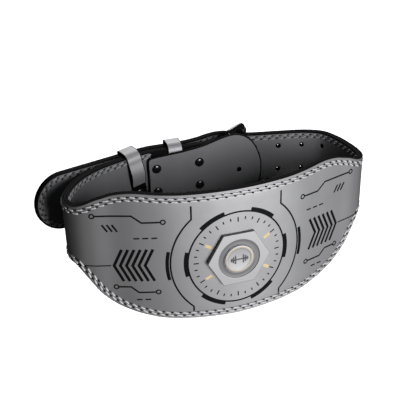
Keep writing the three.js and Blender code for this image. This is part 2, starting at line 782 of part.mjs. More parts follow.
const fixedKeeper = keeper({
  offset: fixedKeeperOffset,
  width: fixedKeeperWidth,
  tilt: 0,
  slack: fixedKeeperSlack,
  lapped: false,
});
const lapKeeper = keeper({
  offset: lapKeeperOffset,
  width: lapKeeperWidth,
  tilt: lapKeeperTilt,
  slack: lapKeeperSlack,
  lapped: true,
});
belt.add(piece('keeper_buckle', fixedKeeper.loop, keeperLeather));
belt.add(piece('keeper_tip', cut(lapKeeper.loop, rivetDrills), keeperLeather));

const flapFace = wall + gap + chapeThickness + gap + flapThickness + gap;
flapRivets.forEach((place, index) => {
  const shape = rivet(place, flapFace, 2 * gap + chapeThickness);
  belt.add(piece(`rivet_flap_${index + 1}`, shape, blackEnamel));
});
const keeperFace = lapKeeper.inset + keeperThickness + gap;
belt.add(piece('rivet_keeper', rivet(keeperRivet, keeperFace, gap), blackEnamel));

belt.add(piece('badge_plate', badgePlate(), badgeMetal));
belt.add(piece('badge_disc', badgeDisc(), badgeMetal));

belt.rotation.x = -lean;
const part = new THREE.Group();
part.add(belt);
part.updateMatrixWorld(true);
const extent = new THREE.Box3().setFromObject(part, true);
belt.position.set(
  -(extent.min.x + extent.max.x) / 2,
  -(extent.min.y + extent.max.y) / 2,
  -extent.min.z,
);

export default part;
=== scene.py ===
"""Looks of a weightlifting belt that is closed in its loop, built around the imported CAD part.

Sizes are in millimetres in the belt's own frame: the origin is the badge's centre on the outer face,
x runs to the right, y through the loop and z up along the wall. lay() puts points into the row's frame.
"""

import json

import bmesh
import bpy
import numpy as np
from mathutils import Matrix, Vector

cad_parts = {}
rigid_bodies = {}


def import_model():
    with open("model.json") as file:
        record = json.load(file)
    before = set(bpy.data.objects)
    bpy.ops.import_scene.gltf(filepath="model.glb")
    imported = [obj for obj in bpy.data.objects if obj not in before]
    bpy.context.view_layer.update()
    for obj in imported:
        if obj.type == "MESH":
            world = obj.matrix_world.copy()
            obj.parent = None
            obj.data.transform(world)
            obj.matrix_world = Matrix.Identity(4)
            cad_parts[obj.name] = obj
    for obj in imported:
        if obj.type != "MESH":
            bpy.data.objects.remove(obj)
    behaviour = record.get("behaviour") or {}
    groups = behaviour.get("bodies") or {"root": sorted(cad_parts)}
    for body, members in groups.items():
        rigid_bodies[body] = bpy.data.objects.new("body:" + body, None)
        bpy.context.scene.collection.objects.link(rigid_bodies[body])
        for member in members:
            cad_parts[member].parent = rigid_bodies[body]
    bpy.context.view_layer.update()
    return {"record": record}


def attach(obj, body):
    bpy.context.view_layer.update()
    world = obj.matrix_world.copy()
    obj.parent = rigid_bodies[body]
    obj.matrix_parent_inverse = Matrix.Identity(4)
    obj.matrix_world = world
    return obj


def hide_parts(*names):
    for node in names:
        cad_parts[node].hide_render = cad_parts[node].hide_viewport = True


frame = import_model()

# Outer leather
# The face of the belt is one sheet of grey cowhide, 2.1 mm thick, rolled smooth and waxed. It is cut to
# the outline of the wall, its edge is rounded and creased, and it is glued to the core.
MM = 0.001
loop_width = 339.0
loop_offset = 2.0
loop_depth = 151.0
back_radius = 300.0
tail_length = 123.0
tail_angle = np.radians(16.6)
back_height = 150.0
badge_rise = 5.0
strap_height = 67.5
strap_rise = 35.5
taper_length = 175.0
ply = 2.1
core_ply = 2.2
gap = 0.3
wall = 2 * ply + core_ply + 2 * gap
heel_x = 44.0
body_end_setback = 8.0
keeper_offset = 66.0
keeper_width = 18.0
rivet_columns = (38.5, 90.5)
rivet_head = 11.0
rivet_foot = 1.1
chape_thickness = 1.6
tongue_bulge = 15.0
bulge_reach = 28.0
prong_reach = 10.3
hole_diameter = 6.0
hole_pitch = 29.0
hole_rows = strap_rise + 1.5 + np.array([-15.0, 15.0])
hole_pairs = 11
engaged_pair = 4
badge_front = 4.2

# Shares of half the loop's width and of its depth, from the back panel on.
turn_of_side = np.array([(0.755, 0.180), (0.880, 0.229), (0.945, 0.272), (0.985, 0.338), (0.998, 0.430)])
tongue_side = np.array([(0.995, 0.540), (0.974, 0.700), (0.922, 0.842), (0.815, 0.922), (0.605, 0.985)])
body_side = np.array([
    (0.970, 0.530), (0.900, 0.662), (0.813, 0.764), (0.690, 0.858), (0.540, 0.928), (0.440, 0.970),
    (0.335, 0.996),
])
# Shares of the bulge's reach from the heel bar and of its stand-off from the body.
tongue_over_bar = np.array([(1.00, -0.08), (0.55, 0.47), (0.12, 0.96), (-0.25, 1.05), (-0.66, 0.90),
                            (-1.25, 0.50)])
# Shares of the taper's length, and of the rise from the strap's top and bottom edges to the panel's.
taper = np.array([
    (0.000, 1.00, 1.000), (0.170, 1.02, 0.986), (0.340, 1.08, 0.958), (0.480, 1.24, 0.912),
    (0.600, 1.45, 0.828), (0.670, 1.42, 0.755), (0.730, 1.26, 0.680), (0.780, 1.00, 0.585),
    (0.835, 0.72, 0.450), (0.890, 0.32, 0.260), (0.945, 0.05, 0.085), (1.000, 0.00, 0.000),
])


def on_outer_face(shares, side):
    """Half the loop's width times the first share, to that side, and its depth times the second share."""
    return np.column_stack((side * shares[:, 0] * loop_width / 2 + loop_offset, shares[:, 1] * loop_depth))


def over_body(x, stand):
    """x, and the outer face of a strap whose inner face stands that far off the body's outer face."""
    return np.column_stack(np.broadcast_arrays(x, loop_depth + stand + wall)).astype(float)


def smooth_curve(points, steps):
    """Centripetal Catmull-Rom: a cubic through each two points, with slopes that weigh the chords on
    both sides by the square roots of their lengths."""
    ends = np.vstack((2 * points[0] - points[1], points, 2 * points[-1] - points[-2]))
    root = np.sqrt(np.linalg.norm(np.diff(ends, axis=0), axis=1))[:, None]
    before, start, end, after = ends[:-3], ends[1:-2], ends[2:-1], ends[3:]
    r0, r1, r2 = root[:-2], root[1:-1], root[2:]
    leaving = (start - before) / r0 - (end - before) / (r0 + r1) + (end - start) / r1
    arriving = (end - start) / r1 - (after - start) / (r1 + r2) + (after - end) / r2
    t = np.linspace(0, 1, steps, endpoint=False)[:, None]
    spans = [
        (2 * t**3 - 3 * t**2 + 1) * a + (3 * t**2 - 2 * t**3) * b + (t**3 - 2 * t**2 + t) * p
        + (t**3 - t**2) * q
        for a, b, p, q in zip(start, end, leaving * r1, arriving * r1)
    ]
    return np.vstack((*spans, points[-1:]))


back_arc = np.array([0.2, 0.4, 0.6]) * loop_width / 2
back_arc = np.column_stack((back_arc, back_radius - np.sqrt(back_radius**2 - back_arc**2)))
mirror = np.array([-1, 1])
stack_over_body = 3 * gap + chape_thickness + rivet_foot
bend = on_outer_face(body_side[5:6], -1) + (0, stack_over_body - gap + wall)
heading = np.array([np.cos(tail_angle), np.sin(tail_angle)])
before_badge = np.vstack((
    over_body([heel_x - body_end_setback, heel_x - keeper_offset], -wall),
    on_outer_face(body_side[::-1], -1),
    on_outer_face(turn_of_side[::-1], -1),
    back_arc[::-1] * mirror,
))
after_badge = np.vstack((
    back_arc,
    on_outer_face(turn_of_side, 1),
    on_outer_face(tongue_side, 1),
    over_body(heel_x + tongue_over_bar[:, 0] * bulge_reach, tongue_over_bar[:, 1] * tongue_bulge),
    over_body(heel_x - keeper_offset + np.array([0.5, -0.5]) * keeper_width, stack_over_body),
    over_body(heel_x - rivet_columns[1] - rivet_head / 2, stack_over_body - gap),
    bend,
    bend - heading * tail_length * np.array([[0.25], [0.5], [0.75], [1.0]]),
))
plan_steps = 100
plan = smooth_curve(np.vstack((before_badge, [[0, 0]], after_badge)), plan_steps)
plan_s = np.append(0, np.cumsum(np.linalg.norm(np.diff(plan, axis=0), axis=1)))
plan_s -= plan_s[len(before_badge) * plan_steps]
plan_along = np.gradient(plan, plan_s, axis=0)
body_end, tongue_end = plan_s[0], plan_s[-1]


def on_wall(s, z, inset):
    """The outer face's point at s, moved into the loop along its normal by the inset, at height z."""
    x, y = (np.interp(s, plan_s, column) for column in plan.T)
    along_x, along_y = (np.interp(s, plan_s, column) for column in plan_along.T)
    length = np.hypot(along_x, along_y)
    return np.stack(np.broadcast_arrays(x - along_y / length * inset, y + along_x / length * inset, z),
                    axis=-1)


mounts = {mount["name"]: mount for mount in frame["record"]["mounts"]}
belt_back = -np.array(mounts["badge_face"]["axis"])
belt_up = np.array(mounts["waist"]["axis"])
belt_axes = np.array([np.cross(belt_back, belt_up), belt_back, belt_up])
row_origin = np.array(mounts["badge_face"]["pos_m"]) + belt_back * badge_front * MM


def lay(points):
    """Millimetres in the belt's frame to metres in the row's. What would sink below the floor is pressed
    flat."""
    laid = np.asarray(points, float) @ belt_axes * MM + row_origin
    laid[..., 2] = np.maximum(laid[..., 2], 0)
    return laid


def smooth_table(place, keys, values):
    """Cubic between the table's rows, level at its ends, with the slope of the chord across each row."""
    slope = np.zeros(len(keys))
    slope[1:-1] = (values[2:] - values[:-2]) / (keys[2:] - keys[:-2])
    place = np.clip(place, keys[0], keys[-1])
    row = np.clip(np.searchsorted(keys, place, side="right") - 1, 0, len(keys) - 2)
    span = keys[row + 1] - keys[row]
    t = (place - keys[row]) / span
    level = values[row] * (2 * t**3 - 3 * t**2 + 1) + values[row + 1] * (3 * t**2 - 2 * t**3)
    return level + span * (slope[row] * (t**3 - 2 * t**2 + t) + slope[row + 1] * (t**3 - t**2))


def wall_edge(s, side):
    """Height of the wall's top (side 1) or bottom (side -1) edge: the strap's edge plus the taper's share of
    the rise to the back panel's edge."""
    strap = strap_rise + side * strap_height / 2
    panel = badge_rise + side * back_height / 2
    return strap + (panel - strap) * smooth_table(np.abs(s) / taper_length, taper[:, 0],
                                                  taper[:, 1 if side > 0 else 2])


def s_where(x, low, high):
    """The place where the outer face meets x, between two places over which x only falls or only rises."""
    part = (plan_s >= low) & (plan_s <= high)
    order = np.argsort(plan[part, 0])
    return np.interp(x, plan[part, 0][order], plan_s[part][order])


def on_body(offset):
    return s_where(heel_x - offset, body_end, 0.6 * body_end)


prong_crossing = s_where(heel_x + prong_reach, 0.45 * tongue_end, tongue_end)
hole_places = prong_crossing + (np.arange(hole_pairs) - engaged_pair) * hole_pitch
tip_radius = strap_height / 2
tip_start = tongue_end - tip_radius
plain_step = 2.4
hole_step = hole_pitch / 18
hole_zone = np.arange(hole_places[0] - hole_pitch / 2, hole_places[-1] + hole_pitch / 2 + hole_step / 2,
                      hole_step)


def evenly(start, stop, step):
    return np.linspace(start, stop, int(np.ceil((stop - start) / step)), endpoint=False)


straight = np.concatenate((
    evenly(body_end, hole_zone[0], plain_step), hole_zone, evenly(hole_zone[-1], tip_start, plain_step)[1:],
))
tip_angle = np.linspace(0, np.pi / 2, 26)


def flat_edge(side):
    """One long edge of the flat pattern, as (s, z) and the unit way inwards: along the wall's edge, then a
    quarter of a circle round the tip."""
    slope = wall_edge(straight + 0.5, side) - wall_edge(straight - 0.5, side)
    length = np.sqrt(1 + slope**2)
    points = np.column_stack((straight, wall_edge(straight, side)))
    inwards = np.column_stack((slope * side / length, -side / length))
    arc = np.column_stack((np.sin(tip_angle), side * np.cos(tip_angle)))
    return np.vstack((points, arc * tip_radius + (tip_start, strap_rise))), np.vstack((inwards, -arc))


class Pattern:
    """A flat leather pattern between a top and a bottom edge that meet at one or both ends. seam is the
    distance along its edge, on along the top and back along the bottom."""

    def __init__(self, top, top_in, bottom, bottom_in):
        self.top, self.top_in, self.bottom, self.bottom_in = top, top_in, bottom, bottom_in
        there = np.append(0, np.cumsum(np.linalg.norm(np.diff(top, axis=0), axis=1)))
        back = np.append(0, np.cumsum(np.linalg.norm(np.diff(bottom, axis=0), axis=1)))
        self.top_seam = there
        self.bottom_seam = there[-1] + back[-1] - back

    def at(self, share, inward):
        """From the top edge moved inwards (share 0) to the bottom edge moved inwards (share 1)."""
        share, inward = share[None, :, None], inward[None, :, None]
        top = self.top[:, None] + self.top_in[:, None] * inward
        bottom = self.bottom[:, None] + self.bottom_in[:, None] * inward
        return (1 - share) * top + share * bottom

    def beside(self, seam, inward):
        """The pattern's point at a distance along its edge, moved inwards from it."""
        along = np.concatenate((self.top_seam, self.bottom_seam[-2::-1]))
        edge = np.vstack((self.top, self.bottom[-2::-1]))
        way = np.vstack((self.top_in, self.bottom_in[-2::-1]))
        point = np.stack([np.interp(seam, along, edge[:, axis]) for axis in (0, 1)], axis=-1)
        inwards = np.stack([np.interp(seam, along, way[:, axis]) for axis in (0, 1)], axis=-1)
        return point + inwards * np.asarray(inward)[..., None]


def piece(name, points, faces, finish, replaced=(), painted=None, paint=None, smooth=True):
    """One mesh object at the origin, laid into the row's frame, with its doubles merged and its faces
    turned outwards. Faces that are painted get the paint in place of the finish."""
    mesh = bpy.data.meshes.new(name)
    mesh.from_pydata(lay(np.asarray(points).reshape(-1, 3)).tolist(), [], faces)
    mesh.materials.append(finish)
    if painted is not None:
        mesh.materials.append(paint or edge_paint_and_shade)
        mesh.polygons.foreach_set("material_index", np.asarray(painted, np.int32))
    shell = bmesh.new()
    shell.from_mesh(mesh)
    bmesh.ops.remove_doubles(shell, verts=shell.verts, dist=0.002 * MM)
    bmesh.ops.recalc_face_normals(shell, faces=shell.faces)
    shell.to_mesh(mesh)
    shell.free()
    mesh.polygons.foreach_set("use_smooth", np.full(len(mesh.polygons), smooth))
    made = bpy.data.objects.new(name, mesh)
    bpy.context.scene.collection.objects.link(made)
    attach(made, "root")
    if replaced:
        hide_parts(*replaced)
    return made


def grid_faces(rows, columns, wrap_columns=False, wrap_rows=False, first=0):
    """Quads of a grid whose points are numbered row by row."""
    row, column = np.meshgrid(np.arange(rows - (not wrap_rows)), np.arange(columns - (not wrap_columns)),
                              indexing="ij")
    next_row, next_column = (row + 1) % rows, (column + 1) % columns
    corners = (row * columns + column, row * columns + next_column, next_row * columns + next_column,
               next_row * columns + column)
    return np.stack(corners, axis=-1) + first


def leather_sheet(
    name, pattern, place, profile, shares, thickness, finish, replaced=(),
    holes=(), radius=0.0, paint_depth=0.3, paint_reach=0.0, paint_before=-1e9, cut_end=True,
):
    """A sheet cut to a pattern. Its section follows the profile, pairs of the distance from the edge and
    the depth below the face, from the back up round the edge and over the face, then the shares between
    the two long edges. place turns pattern points and depths into the belt's frame. Round each hole a
    window in both faces is filled with rings of points that run through the sheet. What lies deeper than
    the paint's depth, or nearer to the edge than its reach, or before a place along the belt, is painted."""
    inward, depth = np.array(profile).T
    between = np.full(len(shares), inward[-1])
    ones = np.ones(len(profile))
    across = np.concatenate((0 * ones, shares, ones, [1], shares[::-1], [0]))
    inwards = np.concatenate((inward, between, inward[::-1], inward[-1:], between, inward[-1:]))
    depths = np.concatenate((depth, 0 * between, depth[::-1], [thickness], thickness + 0 * between,
                             [thickness]))
    flat = pattern.at(across, inwards)
    rows, columns = flat.shape[:2]
    points = [place(flat, np.broadcast_to(depths, flat.shape[:2])).reshape(-1, 3)]
    from_edge = [np.broadcast_to(inwards, flat.shape[:2]).ravel()]
    below_face = [np.broadcast_to(depths, flat.shape[:2]).ravel()]
    along_belt = [flat[..., 0].ravel()]
    quads = grid_faces(rows, columns, wrap_columns=True)
    kept = np.ones(quads.shape[:2], bool)
    extra = []
    window = 3
    ring_radius = radius + np.array([0.45, 0.12, 0.0, 0.0, 0.12, 0.45])
    ring_depth = np.array([0.0, 0.1, 0.45, thickness - 0.45, thickness - 0.1, thickness])
    side = np.arange(-window, window)
    edge_row = np.concatenate((0 * side - window, side, 0 * side + window, -side))
    edge_column = np.concatenate((side, 0 * side + window, -side, 0 * side - window))
    face_columns = slice(len(profile), len(profile) + len(shares))
    for centre in holes:
        distance = np.linalg.norm(flat[:, face_columns] - centre, axis=-1)
        row, column = np.unravel_index(np.argmin(distance), distance.shape)
        column += len(profile)
        mirrored = 2 * len(profile) + len(shares) + (len(shares) - (column - len(profile)))
        kept[row - window:row + window, column - window:column + window] = False
        kept[row - window:row + window, mirrored - window:mirrored + window] = False
        front = (row + edge_row) * columns + column + edge_column
        back = (row + edge_row) * columns + mirrored - edge_column
        away = flat[row + edge_row, column + edge_column] - centre
        away /= np.linalg.norm(away, axis=-1, keepdims=True)
        rings = centre + away * ring_radius[:, None, None]
        ring_depths = np.broadcast_to(ring_depth[:, None], rings.shape[:2])
        first = sum(len(part) for part in points)
        points.append(place(rings, ring_depths).reshape(-1, 3))
        from_edge.append(np.full(ring_depths.size, inward[-1]))
        below_face.append(ring_depths.ravel())
        along_belt.append(rings[..., 0].ravel())
        numbers = np.vstack((front, first + np.arange(rings[..., 0].size).reshape(rings.shape[:2]), back))
        around = np.roll(numbers, -1, axis=1)
        extra.append(np.stack((numbers[:-1], around[:-1], around[1:], numbers[1:]), axis=-1).reshape(-1, 4))
    faces = np.vstack((quads[kept], *extra))
    painted = np.concatenate(below_face)[faces].mean(axis=1) > paint_depth
    painted |= np.concatenate(from_edge)[faces].mean(axis=1) < paint_reach
    painted |= np.concatenate(along_belt)[faces].mean(axis=1) < paint_before
    faces = faces.tolist()
    if cut_end:
        faces.append(list(range(columns)))
        painted = np.append(painted, True)
    return piece(name, np.vstack(points), faces, finish, replaced, painted)


def linear(colour):
    """An sRGB hex value as linear red, green, blue and alpha."""
    value = np.array([int(colour[i:i + 2], 16) for i in (1, 3, 5)]) / 255
    return (*np.where(value <= 0.04045, value / 12.92, ((value + 0.055) / 1.055) ** 2.4).tolist(), 1.0)


def add(tree, kind, inputs=None, **settings):
    """Adds a shader node with its settings. An input is a value or the output of another node."""
    made = tree.nodes.new("ShaderNode" + kind)
    for key, value in settings.items():
        setattr(made, key, value)
    for key, value in (inputs or {}).items():
        if isinstance(value, bpy.types.NodeSocket):
            tree.links.new(value, made.inputs[key])
        else:
            made.inputs[key].default_value = value
    return made


def material(name, **sockets):
    """A new material with one principled shader, whose sockets are named with _ for a space."""
    made = bpy.data.materials.new(name)
    made.use_nodes = True
    tree = made.node_tree
    tree.nodes.clear()
    shader = add(tree, "BsdfPrincipled", {key.replace("_", " "): value for key, value in sockets.items()})
    add(tree, "OutputMaterial", {"Surface": shader.outputs[0]})
    return made, tree, shader


def leather(name, light, dark, roughness, grain_mm, grain_depth, **sockets):
    """Leather on Object coordinates: a slow cloud between two tones of the hide, and as bump the pores at
    the grain's size over finer creases."""
    made, tree, shader = material(name, **sockets)
    where = add(tree, "TexCoord").outputs["Object"]
    cloud = add(tree, "TexNoise",
                {"Vector": where, "Scale": 1 / (35 * MM), "Detail": 3.0, "Roughness": 0.55})
    tone = add(tree, "ValToRGB", {"Fac": cloud.outputs["Fac"]})
    tone.color_ramp.elements[0].position = 0.35
    tone.color_ramp.elements[1].position = 0.68
    tone.color_ramp.elements[0].color = linear(dark)
    tone.color_ramp.elements[1].color = linear(light)
    pores = add(tree, "TexVoronoi", {"Vector": where, "Scale": 1 / (grain_mm * MM)}, feature="SMOOTH_F1")
    creases = add(tree, "TexNoise",
                  {"Vector": where, "Scale": 1 / (6 * MM), "Detail": 6.0, "Roughness": 0.6})
    height = add(tree, "Math", {0: creases.outputs["Fac"], 1: 1.2, 2: pores.outputs["Distance"]},
                 operation="MULTIPLY_ADD")
    bump = add(tree, "Bump", {"Height": height.outputs[0], "Distance": grain_depth * MM, "Strength": 0.6})
    worn = add(tree, "MapRange",
               {"Value": cloud.outputs["Fac"], "To Min": roughness + 0.03, "To Max": roughness - 0.03})
    tree.links.new(tone.outputs["Color"], shader.inputs["Base Color"])
    tree.links.new(worn.outputs[0], shader.inputs["Roughness"])
    tree.links.new(bump.outputs[0], shader.inputs["Normal"])
    return made


# Cowhide rolled smooth, with a pearl finish: its sheen is broad and follows the bend of the wall.
grey_cowhide = leather("pearl_grey_cowhide", "#9c9c9e", "#969698", 0.58, 0.9, 0.03, Metallic=0.78)
# Edge paint, two coats sanded between: matt and deep black. The same black is also painted as shade at
# the body's end, under the keeper's lap and on the widened rims of the keepers and the flap.
edge_paint_and_shade = leather("black_edge_paint_and_shade", "#070708", "#040405", 0.75, 1.4, 0.05, Specular_IOR_Level=0.05)

edge_round = 0.9
crease = 2.2
stitch_rows = (4.0, 7.3)
face_margin = 9.2
groove = 0.28
arc = np.radians([0, 22.5, 45, 67.5, 90])
rounded_edge = np.column_stack((edge_round * (1 - np.cos(arc)), edge_round * (1 - np.sin(arc)))).tolist()
creased_face = [
    (1.5, 0.0), (crease - 0.3, 0.03), (crease, 0.16), (crease + 0.3, 0.03), (3.0, 0.0),
    (stitch_rows[0] - 0.6, 0.05), (stitch_rows[0], groove), (stitch_rows[0] + 0.6, 0.05), (5.65, -0.04),
    (stitch_rows[1] - 0.6, 0.05), (stitch_rows[1], groove), (stitch_rows[1] + 0.6, 0.05),
    (face_margin, 0.0),
]
cut_edge = [(0.35, ply), (0.0, ply - 0.35)]

strap_top = strap_rise + strap_height / 2 - face_margin
strap_face = strap_height - 2 * face_margin
hole_lines = np.sort((hole_rows[:, None] + np.arange(-3, 4) * hole_step).ravel())
face_lines = np.sort(np.concatenate((hole_lines, [14.0, 31.9, 37.0, 42.1])))[::-1]
face_shares = (strap_top - face_lines) / strap_face
belt_pattern = Pattern(*flat_edge(1), *flat_edge(-1))
prong_holes = [np.array([s, z]) for s in hole_places for z in hole_rows]

belt_outer = leather_sheet(
    "belt_outer", belt_pattern, lambda flat, depth: on_wall(flat[..., 0], flat[..., 1], depth),
    cut_edge + rounded_edge + creased_face, face_shares, ply, grey_cowhide,
    ["belt_outer_leather"], prong_holes, hole_diameter / 2,
)

# Core
# A board of pressed leather between the two faces gives the belt its stiffness. Only its cut edge shows,
# sanded flush with the faces and painted black with them.
core_inset = ply + 0.03
core_thickness = core_ply + 2 * gap - 0.06
core_hole = 1.6
core_edge = [(0.5, core_thickness), (0.12, core_thickness - 0.3), (0.0, core_thickness / 2), (0.12, 0.3),
             (0.5, 0.0), (face_margin, 0.0)]
belt_core = leather_sheet(
    "belt_core_board", belt_pattern,
    lambda flat, depth: on_wall(flat[..., 0], flat[..., 1], core_inset + depth),
    core_edge, face_shares, core_thickness, edge_paint_and_shade, ["belt_core"],
    prong_holes, core_hole / 2,
)

# Lining
# The face against the body is matt cowhide, stitched through to the outer leather; its dark grey is
# painted shade for the inside of the loop. The black paint of its edge runs over the rounding as far as
# the crease, and the body's end, where the buckle is fixed, is painted black as shade round the flap.
# How far from the heel bar the body's end is painted black as shade; the inner stitches stop there too.
painted_shade_reach = 97.0
# The lining's dark grey is painted shade for the inside of the loop.
shaded_cowhide = leather("matt_cowhide_painted_shade", "#58585a", "#525254", 0.5, 1.0, 0.04, Specular_IOR_Level=0.4)
belt_lining = leather_sheet(
    "belt_inner_face", belt_pattern, lambda flat, depth: on_wall(flat[..., 0], flat[..., 1], wall - depth),
    cut_edge + rounded_edge + creased_face, face_shares, ply, shaded_cowhide,
    ["belt_lining"], prong_holes, hole_diameter / 2, paint_reach=crease, paint_before=on_body(painted_shade_reach),
)

# Stitching
# Two rows of thick waxed grey thread run round the whole belt on both faces, by lockstitch. Each stitch
# lies a little slanted in its groove and dives into a hole at both ends.
stitch_pitch = 9.5
stitch_gap = 2.6
stitch_slant = 0.85
second_row_lag = 0.42


def thread(name, furrow, crown):
    """Waxed polyester thread: the twist of its plies as diagonal bands, in tone and as bump."""
    made, tree, shader = material(name, Roughness=0.5)
    where = add(tree, "TexCoord").outputs["Object"]
    spun = add(tree, "TexWave", {"Vector": where, "Scale": 1 / (2.2 * MM), "Distortion": 1.0},
               bands_direction="DIAGONAL")
    bump = add(tree, "Bump", {"Height": spun.outputs["Fac"], "Distance": 0.12 * MM, "Strength": 0.5})
    colours = {"Factor": spun.outputs["Fac"], "A": linear(furrow), "B": linear(crown)}
    tone = add(tree, "Mix", colours, data_type="RGBA")
    tree.links.new(tone.outputs["Result"], shader.inputs["Base Color"])
    tree.links.new(bump.outputs[0], shader.inputs["Normal"])
    return made


light_thread = thread("light_grey_waxed_thread", "#c8c8ca", "#e4e4e6")
# The thread on the inner face is the same light grey, painted darker as shade for the inside of the loop.
shaded_thread = thread("waxed_thread_painted_shade", "#727274", "#8a8a8c")


# The pricked hole is a dark slanted oval, painted shade for the pit the needle leaves.
hole_length = 4.0
hole_width = 2.4
needle_hole, tree, shader = material("needle_hole_painted_shade", Roughness=0.9, Specular_IOR_Level=0.1)
fuzz = add(tree, "TexNoise", {"Vector": add(tree, "TexCoord").outputs["Object"], "Scale": 1 / (1.0 * MM)})
fuzz_tone = add(tree, "Mix",
                {"Factor": fuzz.outputs["Fac"], "A": linear("#0c0c0d"), "B": linear("#2a2a2c")},
                data_type="RGBA")
tree.links.new(fuzz_tone.outputs["Result"], shader.inputs["Base Color"])


def many(points, loop_faces, cap_faces=()):
    """The faces of many like shells whose points lie one shell after the other."""
    first = np.arange(len(points))[:, None, None] * points[0].reshape(-1, 3).shape[0]
    faces = (np.asarray(loop_faces).reshape(-1, 4) + first).reshape(-1, 4).tolist()
    for cap in cap_faces:
        faces += (np.array(cap)[None] + first[:, 0]).tolist()
    return faces


def stitch_places(covered_to):
    """Rows, the stitches' numbers and how far each row lags, for the stitches that nothing covers."""
    count = int(belt_pattern.bottom_seam[0] / stitch_pitch) - 1
    row, number = np.meshgrid(np.arange(2), np.arange(count), indexing="ij")
    row, number = row.ravel(), number.ravel()
    centre = (number + row * second_row_lag + 0.5) * stitch_pitch
    s = belt_pattern.beside(centre, np.array(stitch_rows)[row])[:, 0]
    shows = s >= covered_to
    return np.array(stitch_rows)[row[shows]], centre[shows]


def stitching(name, face, way, covered_to, finish, thread_radius):
    """A tube for each stitch: along its seam by t, across and out by the turn round the thread. Its middle
    stands proud of the groove and its ends thin out below the face."""
    row, centre = (values[:, None, None] for values in stitch_places(covered_to))
    t = np.linspace(0, 1, 9)[:, None]
    turn = np.arange(6) * np.pi / 3
    thick = thread_radius * np.sqrt(1 - np.abs(2 * t - 1) ** 6 * 0.97)
    lift = 0.25 - 1.05 * np.abs(2 * t - 1) ** 5
    seam = centre + (t - 0.5) * (stitch_pitch - stitch_gap)
    inward = row + stitch_slant * (2 * t - 1) + thick * np.cos(turn)
    flat = belt_pattern.beside(*np.broadcast_arrays(seam, inward))
    points = on_wall(flat[..., 0], flat[..., 1], face - way * (lift + thick * np.sin(turn)))
    caps = ([0, 1, 2, 3, 4, 5], [48, 49, 50, 51, 52, 53])
    faces = many(points, grid_faces(9, 6, wrap_columns=True), caps)
    return piece(name, points, faces, finish)


def needle_holes(name, face, way, covered_to):
    """A low dark oval lens between each two stitches, painted shade for the needle's hole: its rim sunk in
    the leather, its middle just above it.
    """
    row, centre = (values[:, None, None] for values in stitch_places(covered_to))
    share = np.array([1.0, 0.8, 0.0])[:, None]
    rise = np.array([-0.4, 0.05, 0.14])[:, None]
    turn = np.arange(10) * np.pi / 5
    along = share * hole_length / 2 * np.cos(turn)
    aside = share * hole_width / 2 * np.sin(turn) + 0.35 * along
    flat = belt_pattern.beside(*np.broadcast_arrays(centre + stitch_pitch / 2 + along, row + aside))
    points = on_wall(flat[..., 0], flat[..., 1], face - way * (rise + 0 * flat[..., 0]))
    faces = many(points, grid_faces(3, 10, wrap_columns=True), ([0, 1, 2, 3, 4, 5, 6, 7, 8, 9],))
    return piece(name, points, faces, needle_hole)



chape_outer_leg = 99.0
# Inside, the stitches stop where the body's end is painted black as shade.
for side_name, face, way, leg, finish, thread_radius in (
    ("outer", 0.0, 1, chape_outer_leg, light_thread, 0.85),
    ("inner", wall, -1, painted_shade_reach, shaded_thread, 0.65),
):
    covered_to = on_body(leg)
    stitching("stitching_" + side_name, face, way, covered_to, finish, thread_radius)
    needle_holes("needle_holes_" + side_name, face, way, covered_to)

# Printed line work
# Raised ink on the back panel: a gauge of ticks and arcs round the badge, and on both sides of it nested
# chevrons and thin traces that end in open rings. The short dashes are tan, all the rest is black.
ink_proud = 0.12
ink_sunk = 0.1
ink_step = 2.5
line = 1.8

black_ink, tree, shader = material("black_screen_ink", Roughness=0.6, Specular_IOR_Level=0.08)
tan_ink, tan_tree, tan_shader = material("tan_screen_ink", Roughness=0.5, Specular_IOR_Level=0.3)
for ink_tree, ink_shader, full, thin in ((tree, shader, "#060607", "#101012"),
                                         (tan_tree, tan_shader, "#e3cda4", "#cfb688")):
    mottle = add(ink_tree, "TexNoise",
                 {"Vector": add(ink_tree, "TexCoord").outputs["Object"], "Scale": 1 / (3 * MM),
                  "Detail": 4.0})
    ink_tone = add(ink_tree, "Mix", {"Factor": mottle.outputs["Fac"], "A": linear(full), "B": linear(thin)},
                   data_type="RGBA")
    ink_bump = add(ink_tree, "Bump",
                   {"Height": mottle.outputs["Fac"], "Distance": 0.05 * MM, "Strength": 0.4})
    ink_tree.links.new(ink_tone.outputs["Result"], ink_shader.inputs["Base Color"])
    ink_tree.links.new(ink_bump.outputs[0], ink_shader.inputs["Normal"])


def around(radius, start, stop, centre=(0.0, 0.0)):
    """Points on an arc between two angles in degrees, one every 2.5 mm or 12 for a small ring."""
    count = max(12, int(abs(np.radians(stop - start)) * radius / ink_step))
    angle = np.radians(np.linspace(start, stop, count + 1))
    return np.column_stack((centre[0] + radius * np.cos(angle), centre[1] + radius * np.sin(angle)))


